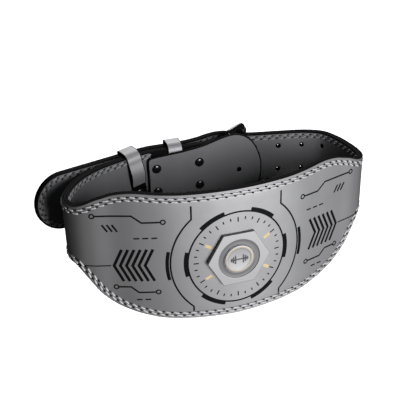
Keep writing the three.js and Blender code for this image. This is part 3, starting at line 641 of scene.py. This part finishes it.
def ink_line(path, width, ring=False):
    """A slab along a path of (s, z): at each corner both sides move out by half the width over the cosine
    of half the turn, then each stretch is divided so that it follows the wall. Its top stands proud of the
    leather and its foot is sunk in it."""
    path = np.asarray(path, float)
    ends = (np.vstack((path[-2:-1], path, path[1:2])) if ring
            else np.vstack((2 * path[:1] - path[1:2], path, 2 * path[-1:] - path[-2:-1])))
    way = np.diff(ends, axis=0)
    way /= np.linalg.norm(way, axis=1, keepdims=True)
    aside = np.column_stack((-way[:, 1], way[:, 0]))
    corner = aside[:-1] + aside[1:]
    corner /= (corner * aside[:-1]).sum(axis=1, keepdims=True)
    pieces = np.maximum(1, np.ceil(np.linalg.norm(np.diff(path, axis=0), axis=1) / ink_step)).astype(int)
    place = np.concatenate([np.arange(count) / count + index for index, count in enumerate(pieces)]
                           + ([] if ring else [[len(pieces)]]))
    sides = [
        np.column_stack([np.interp(place, np.arange(len(path)),
                                   (path + edge * corner * width / 2)[:, axis]) for axis in (0, 1)])
        for edge in (1, -1)
    ]
    flat = np.stack((sides[0], sides[1], sides[1], sides[0]), axis=1)
    inset = np.array([-ink_proud, -ink_proud, ink_sunk, ink_sunk]) + 0 * flat[..., 0]
    points = on_wall(flat[..., 0], flat[..., 1], inset).reshape(-1, 3)
    faces = grid_faces(len(place), 4, wrap_columns=True, wrap_rows=ring).reshape(-1, 4).tolist()
    if not ring:
        faces += [[0, 1, 2, 3], [4 * len(place) - number for number in (4, 3, 2, 1)]]
    return points, faces


def printed(name, lines, ink):
    """All lines of one ink, joined into one mesh."""
    points, faces, first = [], [], 0
    for slab_points, slab_faces in lines:
        points.append(slab_points)
        faces += [[number + first for number in face] for face in slab_faces]
        first += len(slab_points)
    return piece(name, np.vstack(points), faces, ink, smooth=False)


gauge = 54.0
tick_foot = 48.0
black_lines = [ink_line(around(gauge, 0, 360), line, ring=True)]
black_lines += [ink_line(around(gauge + 2.2, middle - 15, middle + 15), 4.4)
                for middle in range(0, 360, 60)]
for tick in range(36):
    angle = np.radians(tick * 10)
    way = np.array([np.cos(angle), np.sin(angle)])
    black_lines.append(ink_line([way * (tick_foot - (5.5 if tick % 3 == 0 else 3.2)), way * tick_foot],
                                1.3))

# One side's lines as (s, z), mirrored for the other side: brackets, chevrons, traces and their rings.
bracket = 72.0
bracket_end = around(bracket, -47, 47)
side_lines = [
    (np.vstack((bracket_end[0] - (0, 6), bracket_end, bracket_end[-1] + (0, 15))), line),
    (around(bracket + 3.4, -13, 13), 3.6),
    ([(80, 52), (99, 52), (109, 60), (146, 60)], line),
    ([(88, -31), (106, -31), (114, -24), (127, -24)], line),
    ([(133, 2), (170, 2)], 1.3),
    ([(84, 34), (90, 34)], 1.6), ([(93, 34), (99, 34)], 1.6), ([(102, 34), (108, 34)], 1.6),
    ([(94, -40), (100, -40)], 1.6), ([(103, -40), (109, -40)], 1.6),
    ([(124, 42), (129, 50)], 2.0), ([(129, 42), (134, 50)], 2.0), ([(134, 42), (139, 50)], 2.0),
]
side_lines += [([(89 + 6.4 * step, -17), (98 + 6.4 * step, 2), (89 + 6.4 * step, 21)], 3.0)
               for step in range(6)]
side_rings = [(77.6, 52), (148.4, 60), (85.6, -31), (129.4, -24)]
for side in (1, -1):
    black_lines += [ink_line(np.asarray(path) * (side, 1), width) for path, width in side_lines]
    black_lines += [ink_line(around(2.4, 0, 360, (side * s, z)), 1.4, ring=True) for s, z in side_rings]
printed("printed_lines", black_lines, black_ink)

tan_lines = []
for angle in np.radians([30, 150, 210, 330]):
    way = np.array([np.cos(angle), np.sin(angle)])
    tan_lines.append(ink_line([way * 33.5, way * 41.0], 3.4))
printed("printed_dashes", tan_lines, tan_ink)

# Chape
# A strip of black bridle leather folded round the heel bar, with a slot for each prong and a leg riveted
# to each face of the body's end.
black_bridle = leather("black_bridle_leather", "#1b1b1d", "#131315", 0.45, 0.8, 0.05,
                       Specular_IOR_Level=0.3)


def refinish(node, finish):
    """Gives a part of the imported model, which stays as it is, the finish of its real surface."""
    slots = bpy.data.objects[node].material_slots
    for held in slots:
        held.material = finish


refinish("buckle_chape", black_bridle)

# Flap
# A paddle of plain leather behind the closure keeps the buckle off the body: square at its riveted end,
# round at the other, with one hole near the tip. Its dark grey is painted shade for the inside of the loop,
# and its black edge paint runs 1.8 mm onto the face, widened as painted shade for the gap behind it.
flap_thickness = 2.5
flap_left = 100.0
flap_right = 40.0
flap_half_height = 42.0
flap_hole = np.array([heel_x + 11.0, strap_rise - 5.0])
flap_face_y = loop_depth - wall - chape_thickness - 2 * gap - flap_thickness
# Shares of the flap's length, and of its half height above and below the strap's middle.
flap_edge = np.array([
    (0.000, 0.58, 0.58), (0.015, 0.64, 0.64), (0.050, 0.665, 0.665), (0.150, 0.69, 0.69),
    (0.320, 0.73, 0.73), (0.470, 0.80, 0.80), (0.610, 0.92, 0.92), (0.700, 0.985, 0.985),
    (0.770, 0.99, 1.00), (0.840, 0.91, 0.97), (0.905, 0.74, 0.90), (0.955, 0.48, 0.76),
    (0.985, 0.22, 0.55), (1.000, 0.00, 0.25),
])


def flap_outline(side):
    """One long edge from the middle of the square end to the middle of the tip, and its way inwards."""
    x = heel_x - flap_left + flap_edge[:, 0] * (flap_left + flap_right)
    z = strap_rise + side * flap_edge[:, 1 if side > 0 else 2] * flap_half_height
    tip_rise = strap_rise - flap_edge[-1, 2] / 2 * flap_half_height
    points = smooth_curve(np.vstack(([x[0], strap_rise], np.column_stack((x, z)), [x[-1], tip_rise])), 7)
    tangent = np.gradient(points, axis=0)
    tangent[0] = tangent[-1] = (0, side)
    tangent[-1] *= -1
    tangent /= np.linalg.norm(tangent, axis=1, keepdims=True)
    return points, side * np.column_stack((tangent[:, 1], -tangent[:, 0]))


# The flap's dark grey is painted shade for the inside of the loop.
flap_leather_painted_shade = leather("smooth_cowhide_painted_shade", "#5c5c5e", "#565658", 0.42, 1.0, 0.03, Specular_IOR_Level=0.4)
flap_across = np.linspace(0, 1, 41)[1:-1]
# The black edge paint is widened 1.8 mm onto the face as painted shade for the gap behind the flap.
leather_sheet(
    "guard_flap", Pattern(*flap_outline(1), *flap_outline(-1)),
    lambda flat, depth: np.stack((flat[..., 0], flap_face_y + depth, flat[..., 1]), axis=-1),
    cut_edge + rounded_edge + [(1.8, 0.0)], flap_across, flap_thickness, flap_leather_painted_shade,
    ["inner_flap"], [flap_hole], 3.0, paint_reach=1.8, cut_end=False,
)

# Buckle
# A welded frame of steel wire, two prongs turned round its heel bar and a roller on its far bar, all
# with a glossy black enamel.
wire = 3.4
arm_height = strap_height / 2 + 3.4 + wire
frame_corner = 4.5
arm_depth = 2.6
roller_play = 0.35
roller_outside = wire + roller_play + 1.1
prong_radius = 2.1
prong_loop_wall = 1.5
prong_loop_width = 7.0

black_enamel, tree, shader = material("black_enamelled_steel", Metallic=0.0, Coat_Weight=0.5,
                                      Coat_Roughness=0.12, Specular_IOR_Level=0.2)
where = add(tree, "TexCoord").outputs["Object"]
peel = add(tree, "TexNoise", {"Vector": where, "Scale": 1 / (1.6 * MM), "Detail": 2.0})
peel_bump = add(tree, "Bump", {"Height": peel.outputs["Fac"], "Distance": 0.02 * MM, "Strength": 0.35})
peel_rough = add(tree, "MapRange", {"Value": peel.outputs["Fac"], "To Min": 0.22, "To Max": 0.32})
peel_tone = add(tree, "Mix",
                {"Factor": peel.outputs["Fac"], "A": linear("#050506"), "B": linear("#0a0a0b")},
                data_type="RGBA")
tree.links.new(peel_tone.outputs["Result"], shader.inputs["Base Color"])
tree.links.new(peel_rough.outputs[0], shader.inputs["Roughness"])
tree.links.new(peel_bump.outputs[0], shader.inputs["Normal"])


def swept(path, facing, radius, sides=20, ring=False, deeper=0.0):
    """A round bar along a path that lies in the plane facing that way. The radius may differ at each
    point, and so may how much deeper the bar is on one side. Returns its points and faces."""
    tangent = np.gradient(path, axis=0)
    if ring:
        tangent = np.roll(path, -1, axis=0) - np.roll(path, 1, axis=0)
    tangent /= np.linalg.norm(tangent, axis=1, keepdims=True)
    sideways = np.cross(tangent, facing)
    turn = np.arange(sides) * 2 * np.pi / sides
    radius, deeper = (np.broadcast_to(value, len(path))[:, None, None] for value in (radius, deeper))
    inwards = np.cos(turn)[None, :, None]
    points = path[:, None] + inwards * (radius + deeper * (inwards > 0)) * sideways[:, None]
    points = points + np.sin(turn)[None, :, None] * radius * facing
    faces = grid_faces(len(path), sides, wrap_columns=True, wrap_rows=ring).reshape(-1, 4).tolist()
    return points.reshape(-1, 3), faces


def turned(profile, centre, axis, sides=40, hollow=False):
    """A profile of (radius, height) pairs turned round an axis through the centre. A hollow one closes on
    itself, the others start and end on the axis."""
    radius, height = np.array(profile).T
    first = np.cross(axis, (0.36, 0.48, 0.8))
    first /= np.linalg.norm(first)
    second = np.cross(axis, first)
    turn = np.arange(sides)[:, None, None] * 2 * np.pi / sides
    points = (centre + height[:, None] * np.asarray(axis)
              + radius[:, None] * (np.cos(turn) * first + np.sin(turn) * second))
    faces = grid_faces(sides, len(profile), wrap_columns=hollow, wrap_rows=True)
    return points.reshape(-1, 3), faces.reshape(-1, 4).tolist()


def out_at(s):
    """The unit way out of the loop at a place on the wall."""
    return on_wall(s, 0.0, -1.0) - on_wall(s, 0.0, 0.0)


heel = np.array([heel_x, loop_depth - wall / 2, strap_rise])
under_roller = s_where(heel_x + 21.8, 0.45 * tongue_end, tongue_end)
roller = on_wall(under_roller, strap_rise, -(roller_outside + gap))
frame_way = (roller - heel) / np.linalg.norm(roller - heel)
frame_out = np.array([-frame_way[1], frame_way[0], 0])
up = np.array([0.0, 0.0, 1.0])

quarter = np.radians(np.linspace(0, 90, 9))
frame_half = np.linalg.norm(roller - heel) / 2
corner_turn = np.column_stack((np.cos(quarter), np.sin(quarter))) * frame_corner
corner_at = np.array([frame_half, arm_height]) - frame_corner
one_corner = corner_turn + corner_at
outline = np.vstack((
    one_corner, (one_corner * (-1, 1))[::-1], one_corner * (-1, -1), (one_corner * (1, -1))[::-1],
))
frame_path = (heel + roller) / 2 + outline[:, :1] * frame_way + outline[:, 1:] * up
arm_share = np.abs(np.roll(outline[:, 0], -1) - np.roll(outline[:, 0], 1))
arm_share = np.minimum(1, arm_share / frame_corner * 2.0)
points, faces = swept(frame_path, frame_out, wire, ring=True, deeper=arm_depth * arm_share)
piece("buckle_wire_frame", points, faces, black_enamel, ["buckle_frame"])

roller_half = arm_height - wire - 2 * gap
inner, outer = wire + roller_play, roller_outside
roller_section = [
    (inner, -roller_half + 0.2), (inner + 0.2, -roller_half), (outer - 0.45, -roller_half),
    (outer - 0.12, -roller_half + 0.15), (outer, -roller_half + 0.5), (outer, roller_half - 0.5),
    (outer - 0.12, roller_half - 0.15), (outer - 0.45, roller_half), (inner + 0.2, roller_half),
    (inner, roller_half - 0.2),
]
points, faces = turned(roller_section, roller, up, hollow=True)
piece("buckle_turning_roller", points, faces, black_enamel, ["buckle_roller"])

crossing_out = out_at(prong_crossing)
for row_name, z in zip(("lower", "upper"), hole_rows):
    bar_centre = np.array([heel_x, heel[1], z])
    through = on_wall(prong_crossing, z, wall / 2)
    from_bar = (through - bar_centre) / np.linalg.norm(through - bar_centre)
    on_roller = np.array([roller[0], roller[1], z])
    over_roller = roller_outside + prong_radius + gap
    path = smooth_curve(np.array([
        bar_centre + from_bar * (wire + prong_loop_wall / 2 + gap),
        through - crossing_out * wall * 0.75,
        through,
        through + crossing_out * wall * 0.75,
        on_roller + frame_out * (over_roller + 2.2) - frame_way * 5,
        on_roller + frame_out * over_roller,
        on_roller + frame_out * (over_roller - 1.2) + frame_way * 5,
    ]), 8)
    distance = np.append(0, np.cumsum(np.linalg.norm(np.diff(path, axis=0), axis=1)))
    to_tip = np.clip((distance[-1] - distance) / (1.4 * prong_radius), 0, 1)
    rod_points, rod_faces = swept(path, up, prong_radius * np.sqrt(1 - (1 - to_tip) ** 2) + 0.001)
    rod_faces.append(list(range(20)))
    inside, outside, half = wire + gap, wire + gap + prong_loop_wall, prong_loop_width / 2
    loop_section = [
        (inside, -half + 0.3), (inside + 0.3, -half), (outside - 0.5, -half),
        (outside - 0.1, -half + 0.2), (outside, -half + 0.6), (outside, half - 0.6),
        (outside - 0.1, half - 0.2), (outside - 0.5, half), (inside + 0.3, half), (inside, half - 0.3),
    ]
    loop_points, loop_faces = turned(loop_section, bar_centre, up, hollow=True)
    faces = rod_faces + [[number + len(rod_points) for number in face] for face in loop_faces]
    piece("prong_" + row_name, np.vstack((rod_points, loop_points)), faces, black_enamel,
          ["buckle_prong_" + row_name])

# Keepers
# Two loops of grey leather hold the tongue to the body: a plain one next to the buckle, and one whose
# strip laps over itself inside, bows out there and is held by a rivet.
keeper_thickness = 1.4
keeper_corner = 2.2
# How far the black edge paint runs onto each side of a keeper's face, widened as painted shade beside it.
keeper_rim_and_shade = 1.1
lap_width = 18.5
lap_offset = 115.5
lap_tilt = np.radians(7.0)
lap_slack = 1.8
lap_bulge = 3.0
lap_end = -2.0
fixed_slack = 3.2

satin_leather = leather("satin_grey_strap_leather", "#808083", "#7a7a7c", 0.55, 0.9, 0.04, Metallic=0.4)


def straps_across(distance, width):
    """How far both straps reach along the way out from the body's outer face, near a place on the body."""
    point, out = on_wall(distance, 0.0, 0.0), out_at(distance)
    along = np.cross(out, up)
    near = np.arange(distance - width, distance + width, 1.0)
    outer_of_tongue = np.arange(0.7 * tongue_end, tongue_end, 1.0)
    seen = np.vstack((on_wall(near, 0.0, wall), on_wall(near, 0.0, 0.0),
                      on_wall(outer_of_tongue, 0.0, 0.0))) - point
    seen = seen[np.abs(seen @ along) <= width / 2] @ out
    return seen.min(), seen.max()


def corner_arc(centre, radius, start, stop):
    angle = np.radians(np.linspace(start, stop, 7))
    return np.column_stack((centre[0] + radius * np.cos(angle), centre[1] + radius * np.sin(angle)))


def keeper(name, node, offset, width, tilt, slack, top_corner, lapped):
    """A strip carried round both straps. Its path is seen along the strap, with the way out of the loop and
    the way up, and its section is as deep as the keeper is wide, with rounded edges. Returns how far its
    inner leg lies from the body's outer face."""
    distance = on_body(offset)
    point, out = on_wall(distance, strap_rise, 0.0), out_at(distance)
    spread = width * np.cos(tilt) + strap_height * np.sin(tilt)
    low, high = straps_across(distance, spread)
    half = strap_height / 2 / np.cos(tilt) + width / 2 * np.tan(tilt) + slack + keeper_thickness / 2
    left, right = low - gap - keeper_thickness / 2, high + 2 * gap + keeper_thickness / 2
    r = keeper_corner
    path = [
        corner_arc((left + r, -half + r), r, 180, 270), corner_arc((right - r, -half + r), r, 270, 360),
        corner_arc((right - r, half - r), r, 0, 90),
    ]
    if lapped:
        lap, q = left - keeper_thickness, top_corner
        drop = np.linspace(half - 1.1 * q, lap_end, 24)
        bow = np.sin(np.pi * (drop[0] - drop) / (drop[0] - lap_end)) ** 1.5
        path = [[(left, half - 1.2 * q)], *path, corner_arc((lap + q, half - q), q, 90, 180)]
        path.append(np.column_stack((lap - lap_bulge * bow, drop)))
    else:
        path.append(corner_arc((left + top_corner, half - top_corner), top_corner, 90, 180))
    path = np.vstack(path)
    pieces = np.linalg.norm(np.diff(path, axis=0), axis=1)
    place = np.append(0, np.cumsum(pieces))
    fine = np.unique(np.concatenate((place, np.linspace(0, place[-1], 90))))
    path = np.column_stack([np.interp(fine, place, path[:, axis]) for axis in (0, 1)])
    tangent = np.gradient(path, fine, axis=0)
    if not lapped:
        tangent = np.roll(path, -1, axis=0) - np.roll(path, 1, axis=0)
    tangent /= np.linalg.norm(tangent, axis=1, keepdims=True)
    normal = np.column_stack((tangent[:, 1], -tangent[:, 0]))
    t, w, e = keeper_thickness / 2, width / 2, 0.45
    arc = np.radians([0, 30, 60, 90])
    quarter_edge = np.column_stack((t - e + e * np.sin(arc), w - e + e * np.cos(arc)))
    quarter_edge = np.vstack((quarter_edge, (t, w - keeper_rim_and_shade), (t, w - keeper_rim_and_shade - 0.2)))
    half_section = np.vstack((quarter_edge, quarter_edge[::-1] * (1, -1)))
    section = np.vstack((half_section, -half_section))
    lifted = path[:, None] + normal[:, None] * section[None, :, :1]
    across = np.broadcast_to(section[:, 1], lifted.shape[:2])
    side = np.cross(out, up)
    tilted_side = side * np.cos(tilt) + up * np.sin(tilt)
    tilted_up = up * np.cos(tilt) - side * np.sin(tilt)
    points = point + lifted[..., :1] * out + lifted[..., 1:] * tilted_up + across[..., None] * tilted_side
    rows, columns = lifted.shape[:2]
    faces = grid_faces(rows, columns, wrap_columns=True, wrap_rows=not lapped).reshape(-1, 4)
    # Both rims are black edge paint, widened as painted shade beside the strip.
    painted = np.abs(across).ravel()[faces].mean(axis=1) > w - keeper_rim_and_shade
    if lapped:
        # The leg under the lap is painted black as shade below the lap's end.
        shaded_under_lap = np.repeat(path[:, 0] < left + 0.1, columns)[faces].all(axis=1)
        painted |= shaded_under_lap & (np.repeat(fine, columns)[faces].mean(axis=1) < 2 * half)
    faces = faces.tolist()
    if lapped:
        faces += [list(range(columns)), list(range((rows - 1) * columns, rows * columns))]
        painted = np.append(painted, [True, True])
    piece(name, points, faces, satin_leather, [node], painted)
    return -left + keeper_thickness / 2


keeper("strap_keeper_fixed", "keeper_buckle", keeper_offset, keeper_width, 0.0, fixed_slack, 9.0, False)
lap_inset = keeper("strap_keeper_lapped", "keeper_tip", lap_offset, lap_width, lap_tilt, lap_slack, 9.5,
                   True)

# Rivets
# Domed rivets with the same black enamel: four hold the flap and the chape to the body's end, one the
# lap of the keeper. The foot behind is flat.
rivet_dome = 2.4
rivet_shank = 2.0
rivet_rows = strap_rise - 1.5 + np.array([14.5, -14.5])
flap_dome_at = wall + chape_thickness + flap_thickness + 3 * gap


def rivet(name, node, offset, z, dome_inset, foot_stand):
    """Turned round the way out: a dome that is a quarter ellipse, with its rim rolled under, a shank and a
    foot."""
    s = on_body(offset)
    head = rivet_head / 2
    lean_angle = np.radians(np.linspace(0, 84, 12))
    dome = np.column_stack((head * np.sin(lean_angle), -dome_inset - rivet_dome * np.cos(lean_angle)))
    dome[0, 0] = 0
    rest = [
        (head, -dome_inset - 0.12), (head - 0.25, -dome_inset), (rivet_shank, -dome_inset),
        (rivet_shank, foot_stand), (0.74 * head, foot_stand), (0.8 * head, foot_stand + 0.15),
        (0.8 * head, foot_stand + 0.55 * rivet_foot), (0.72 * head, foot_stand + 0.85 * rivet_foot),
        (0.6 * head, foot_stand + rivet_foot), (0, foot_stand + rivet_foot),
    ]
    points, faces = turned(np.vstack((dome, rest)), on_wall(s, z, 0.0), out_at(s))
    piece(name, points, faces, black_enamel, [node])


flap_rivet_places = [(offset, z) for offset in rivet_columns for z in rivet_rows]
for number, (offset, z) in enumerate(flap_rivet_places, start=1):
    rivet(f"flap_rivet_{number}", f"rivet_flap_{number}", offset, z, flap_dome_at,
          2 * gap + chape_thickness)
rivet("keeper_rivet", "rivet_keeper", lap_offset - 1.5, strap_rise - 12.5, lap_inset + gap, gap)

# Badge
# A hexagonal plate die cast from zinc and plated in satin nickel, glued to the middle of the back panel,
# with a round groove and a pocket that holds a flat disc.
badge_flats = 60.0
badge_proud = 3.4
badge_corner = 1.6
groove_radii = (23.0, 17.0)
groove_depth = 0.9
disc_radius = 16.3
pocket_depth = 1.1
chamfer = 0.35

groove_paint = leather("grey_stoved_enamel", "#747476", "#6c6c6e", 0.55, 0.6, 0.02, Metallic=0.3)
satin_nickel, tree, shader = material("satin_nickel_plate", Metallic=0.7)
where = add(tree, "TexCoord").outputs["Object"]
brushed = add(tree, "TexNoise", {"Vector": where, "Scale": 1 / (1.2 * MM), "Detail": 3.0})
plate_tone = add(tree, "Mix",
                 {"Factor": brushed.outputs["Fac"], "A": linear("#9a9a9c"), "B": linear("#a8a8aa")},
                 data_type="RGBA")
plate_rough = add(tree, "MapRange", {"Value": brushed.outputs["Fac"], "To Min": 0.50, "To Max": 0.60})
plate_bump = add(tree, "Bump", {"Height": brushed.outputs["Fac"], "Distance": 0.03 * MM, "Strength": 0.3})
tree.links.new(plate_tone.outputs["Result"], shader.inputs["Base Color"])
tree.links.new(plate_rough.outputs[0], shader.inputs["Roughness"])
tree.links.new(plate_bump.outputs[0], shader.inputs["Normal"])

badge_turn = np.radians(np.arange(0, 360, 1.25))


def hexagon(inset):
    """Distance from the centre to a hexagon with points left and right, moved in by the inset, whose six
    corners are rounded by a circle that touches both sides."""
    flat = badge_flats / 2 - inset
    turn = np.mod(badge_turn, np.pi / 3) - np.pi / 6
    straight_side = flat / np.cos(turn)
    reach = 2 / np.sqrt(3) * (flat - badge_corner)
    from_corner = np.pi / 6 - np.abs(turn)
    inside_root = np.maximum(badge_corner**2 - (reach * np.sin(from_corner)) ** 2, 0)
    rounded = reach * np.cos(from_corner) + np.sqrt(inside_root)
    start_of_round = np.arctan2(badge_corner / 2, reach + badge_corner * np.sqrt(3) / 2)
    return np.where(from_corner < start_of_round, rounded, straight_side)


front = -badge_proud
plate_rings = [
    (0.01, front + pocket_depth), (disc_radius, front + pocket_depth),
    (disc_radius + gap, front + pocket_depth - 0.1), (disc_radius + gap, front + 0.05),
    (disc_radius + gap + 0.05, front), (groove_radii[1] - 0.05, front), (groove_radii[1], front + 0.05),
    (groove_radii[1] + 0.06, front + groove_depth - 0.1), (groove_radii[1] + 0.3, front + groove_depth),
    (groove_radii[0] - 0.3, front + groove_depth), (groove_radii[0] - 0.06, front + groove_depth - 0.1),
    (groove_radii[0], front + 0.06), (groove_radii[0] + 0.08, front), (groove_radii[0] + 0.6, front),
    (hexagon(chamfer + 0.4), front), (hexagon(chamfer), front), (hexagon(0.0), front + chamfer),
    (hexagon(0.0), front + chamfer + 0.3), (hexagon(0.0), -gap - 0.3),
]
rings = np.array([np.broadcast_to(radius, badge_turn.shape) for radius, depth in plate_rings])
rings = np.vstack((rings, hexagon(0.0), hexagon(0.0) * 0.5, 0.01 + 0 * badge_turn))
x, z = rings * np.cos(badge_turn), rings * np.sin(badge_turn)
behind = back_radius - np.sqrt((back_radius + gap) ** 2 - x**2)
y = np.array([np.full(badge_turn.shape, depth) for radius, depth in plate_rings])
y = np.vstack((y, behind[len(plate_rings):]))
faces = grid_faces(len(rings), len(badge_turn), wrap_columns=True).reshape(-1, 4).tolist()
in_groove = (np.arange(len(faces)) // len(badge_turn) >= 6) & (np.arange(len(faces)) // len(badge_turn) < 11)
last = (len(rings) - 1) * len(badge_turn)
faces += [list(range(len(badge_turn))), list(range(last, last + len(badge_turn)))]
piece(
    "badge_hexagon", np.stack((x, y, z), axis=-1), faces, satin_nickel, ["badge_plate"],
    painted=np.append(in_groove, [False, False]), paint=groove_paint,
)

disc_back = front + pocket_depth - gap
disc_front = disc_back - 1.6
disc_profile = [
    (0, -disc_front - 0.3), (12.2, -disc_front - 0.3), (12.5, -disc_front - 0.25),
    (12.7, -disc_front - 0.05), (12.9, -disc_front), (disc_radius - 0.4, -disc_front),
    (disc_radius - 0.1, -disc_front - 0.1), (disc_radius, -disc_front - 0.4), (disc_radius, -disc_back),
    (0, -disc_back),
]
out_of_badge = np.array([0.0, -1.0, 0.0])
points, faces = turned(disc_profile, np.zeros(3), out_of_badge, sides=96)
piece("badge_centre_disc", points, faces, satin_nickel, ["badge_disc"])
ring_profile = [(13.7, -disc_front - 0.1), (13.7, -disc_front + 0.08), (14.6, -disc_front + 0.08),
                (14.6, -disc_front - 0.1)]
points, faces = turned(ring_profile, np.zeros(3), out_of_badge, sides=96, hollow=True)
piece("badge_tan_ring", points, faces, tan_ink)

# A small barbell stands in relief on the disc: a bar, and three plates on either side of it.
grey_enamel = leather("dark_grey_enamel", "#5a5a5c", "#525254", 0.5, 0.5, 0.02, Metallic=0.2)
relief = 0.35
barbell = [(0.0, 20.0, 1.3)] + [(side * x, 1.5, height) for side in (1, -1)
                                for x, height in ((4.4, 10.0), (6.6, 7.0), (8.6, 4.2))]
points, faces = [], []
for x, width, height in barbell:
    corner = np.radians([0, 30, 60, 90])
    r = 0.45
    turn = np.concatenate([corner + quarter_turn * np.pi / 2 for quarter_turn in range(4)])
    which = np.repeat([[1, 1], [-1, 1], [-1, -1], [1, -1]], 4, axis=0)
    edge = (np.column_stack((np.cos(turn), np.sin(turn))) * r
            + which * (np.array([width, height]) / 2 - r) + (x, 0))
    level = np.array([disc_front + 0.35, disc_front + 0.3 - relief, disc_front + 0.2 - relief])
    inwards = np.array([1.0, 1.0, 0.9])
    slab = np.stack([
        np.column_stack(((edge[:, 0] - x) * shrink + x, np.full(16, y), edge[:, 1] * shrink))
        for y, shrink in zip(level, inwards)
    ])
    faces += (grid_faces(3, 16, wrap_columns=True).reshape(-1, 4) + 48 * len(points)).tolist()
    faces += [(np.arange(16) + 48 * len(points)).tolist(), (np.arange(32, 48) + 48 * len(points)).tolist()]
    points.append(slab.reshape(-1, 3))
piece("badge_barbell", np.vstack(points), faces, grey_enamel, smooth=False)

# Camera, light and floor
# The camera stands where the photograph was taken from. A plain pale floor, broad soft lights.
azimuth, elevation, roll = np.radians([-18.6, 28.1, -1.25])
camera_at = np.array([-256.4, -666.4, 440.0])
focal_px = 800.0
image_px = 416.0
sensor_mm = 36.0

back = np.array([np.sin(azimuth) * np.cos(elevation), -np.cos(azimuth) * np.cos(elevation),
                 np.sin(elevation)])
level = np.array([np.cos(azimuth), np.sin(azimuth), 0])
upward = np.cross(back, level)
right = np.cos(roll) * level + np.sin(roll) * upward
above = np.cos(roll) * upward - np.sin(roll) * level

lens = bpy.data.cameras.new("camera")
lens.sensor_width = sensor_mm
lens.lens = focal_px * sensor_mm / image_px
camera = bpy.data.objects.new("camera", lens)
bpy.context.scene.collection.objects.link(camera)
place = np.eye(4)
place[:3, :3] = (np.array([right, above, back]) @ belt_axes).T
place[:3, 3] = camera_at @ belt_axes * MM + row_origin
camera.matrix_world = Matrix(place.tolist())
bpy.context.scene.camera = camera


def soft_light(name, at, size, power, target=(0.0, 0.0, 0.05), width=None):
    """An area light at a point, turned to its target, square unless it has a width of its own."""
    lamp = bpy.data.lights.new(name, "AREA")
    lamp.shape = "RECTANGLE"
    lamp.size = width or size
    lamp.size_y = size
    lamp.energy = power
    made = bpy.data.objects.new(name, lamp)
    bpy.context.scene.collection.objects.link(made)
    made.location = at
    made.rotation_euler = (Vector(target) - Vector(at)).to_track_quat("-Z", "Y").to_euler()
    return made


# The key is a low softbox to the right of the camera: the sheen of the leather follows it round the wall.
# A second one, high behind the belt, lights the outer side of the closure.
soft_light("key", (0.50, -1.38, 0.42), 0.70, 26.0, width=1.0)
soft_light("back", (0.30, 1.35, 0.62), 0.8, 21.0)

world = bpy.data.worlds.new("studio")
bpy.context.scene.world = world
world.use_nodes = True
world.node_tree.nodes["Background"].inputs["Color"].default_value = linear("#ffffff")
world.node_tree.nodes["Background"].inputs["Strength"].default_value = 0.035
bpy.context.scene.view_settings.view_transform = "Standard"

floor_mesh = bpy.data.meshes.new("floor")
floor_reach = 30.0
floor_corners = [(-floor_reach, -floor_reach, 0), (floor_reach, -floor_reach, 0),
                 (floor_reach, floor_reach, 0), (-floor_reach, floor_reach, 0)]
floor_mesh.from_pydata(floor_corners, [], [(0, 1, 2, 3)])
floor_finish, tree, shader = material("pale_floor", Base_Color=linear("#f4f4f4"), Roughness=0.8)
floor_mesh.materials.append(floor_finish)
floor = bpy.data.objects.new("floor", floor_mesh)
bpy.context.scene.collection.objects.link(floor)

# The floor has an even light of its own from straight above that casts no shadow, so that it stays white
# on every side. It throws no light back onto the belt.
floor.visible_diffuse = False
floor.visible_glossy = False
floor_only = bpy.data.collections.new("floor_light_reaches")
floor_only.objects.link(floor)
daylight = bpy.data.lights.new("floor", "SUN")
daylight.energy = 3.8
daylight.use_shadow = False
floor_light = bpy.data.objects.new("floor_light", daylight)
bpy.context.scene.collection.objects.link(floor_light)
floor_light.light_linking.receiver_collection = floor_only

# A third softbox reaches into the loop, over the back panel, and stops short of its outer face.
inner_names = ("belt_inner", "stitching_inner", "needle_holes_inner", "guard_flap", "strap_keeper",
               "flap_rivet", "keeper_rivet", "buckle", "prong")
inner_pieces = bpy.data.collections.new("inner_light_reaches")
for made in bpy.context.scene.collection.objects:
    if made.type == "MESH" and made.name.startswith(inner_names):
        inner_pieces.objects.link(made)
inner_light = soft_light("inner", (0.30, -0.92, 0.88), 0.55, 24.0)
inner_light.light_linking.receiver_collection = inner_pieces
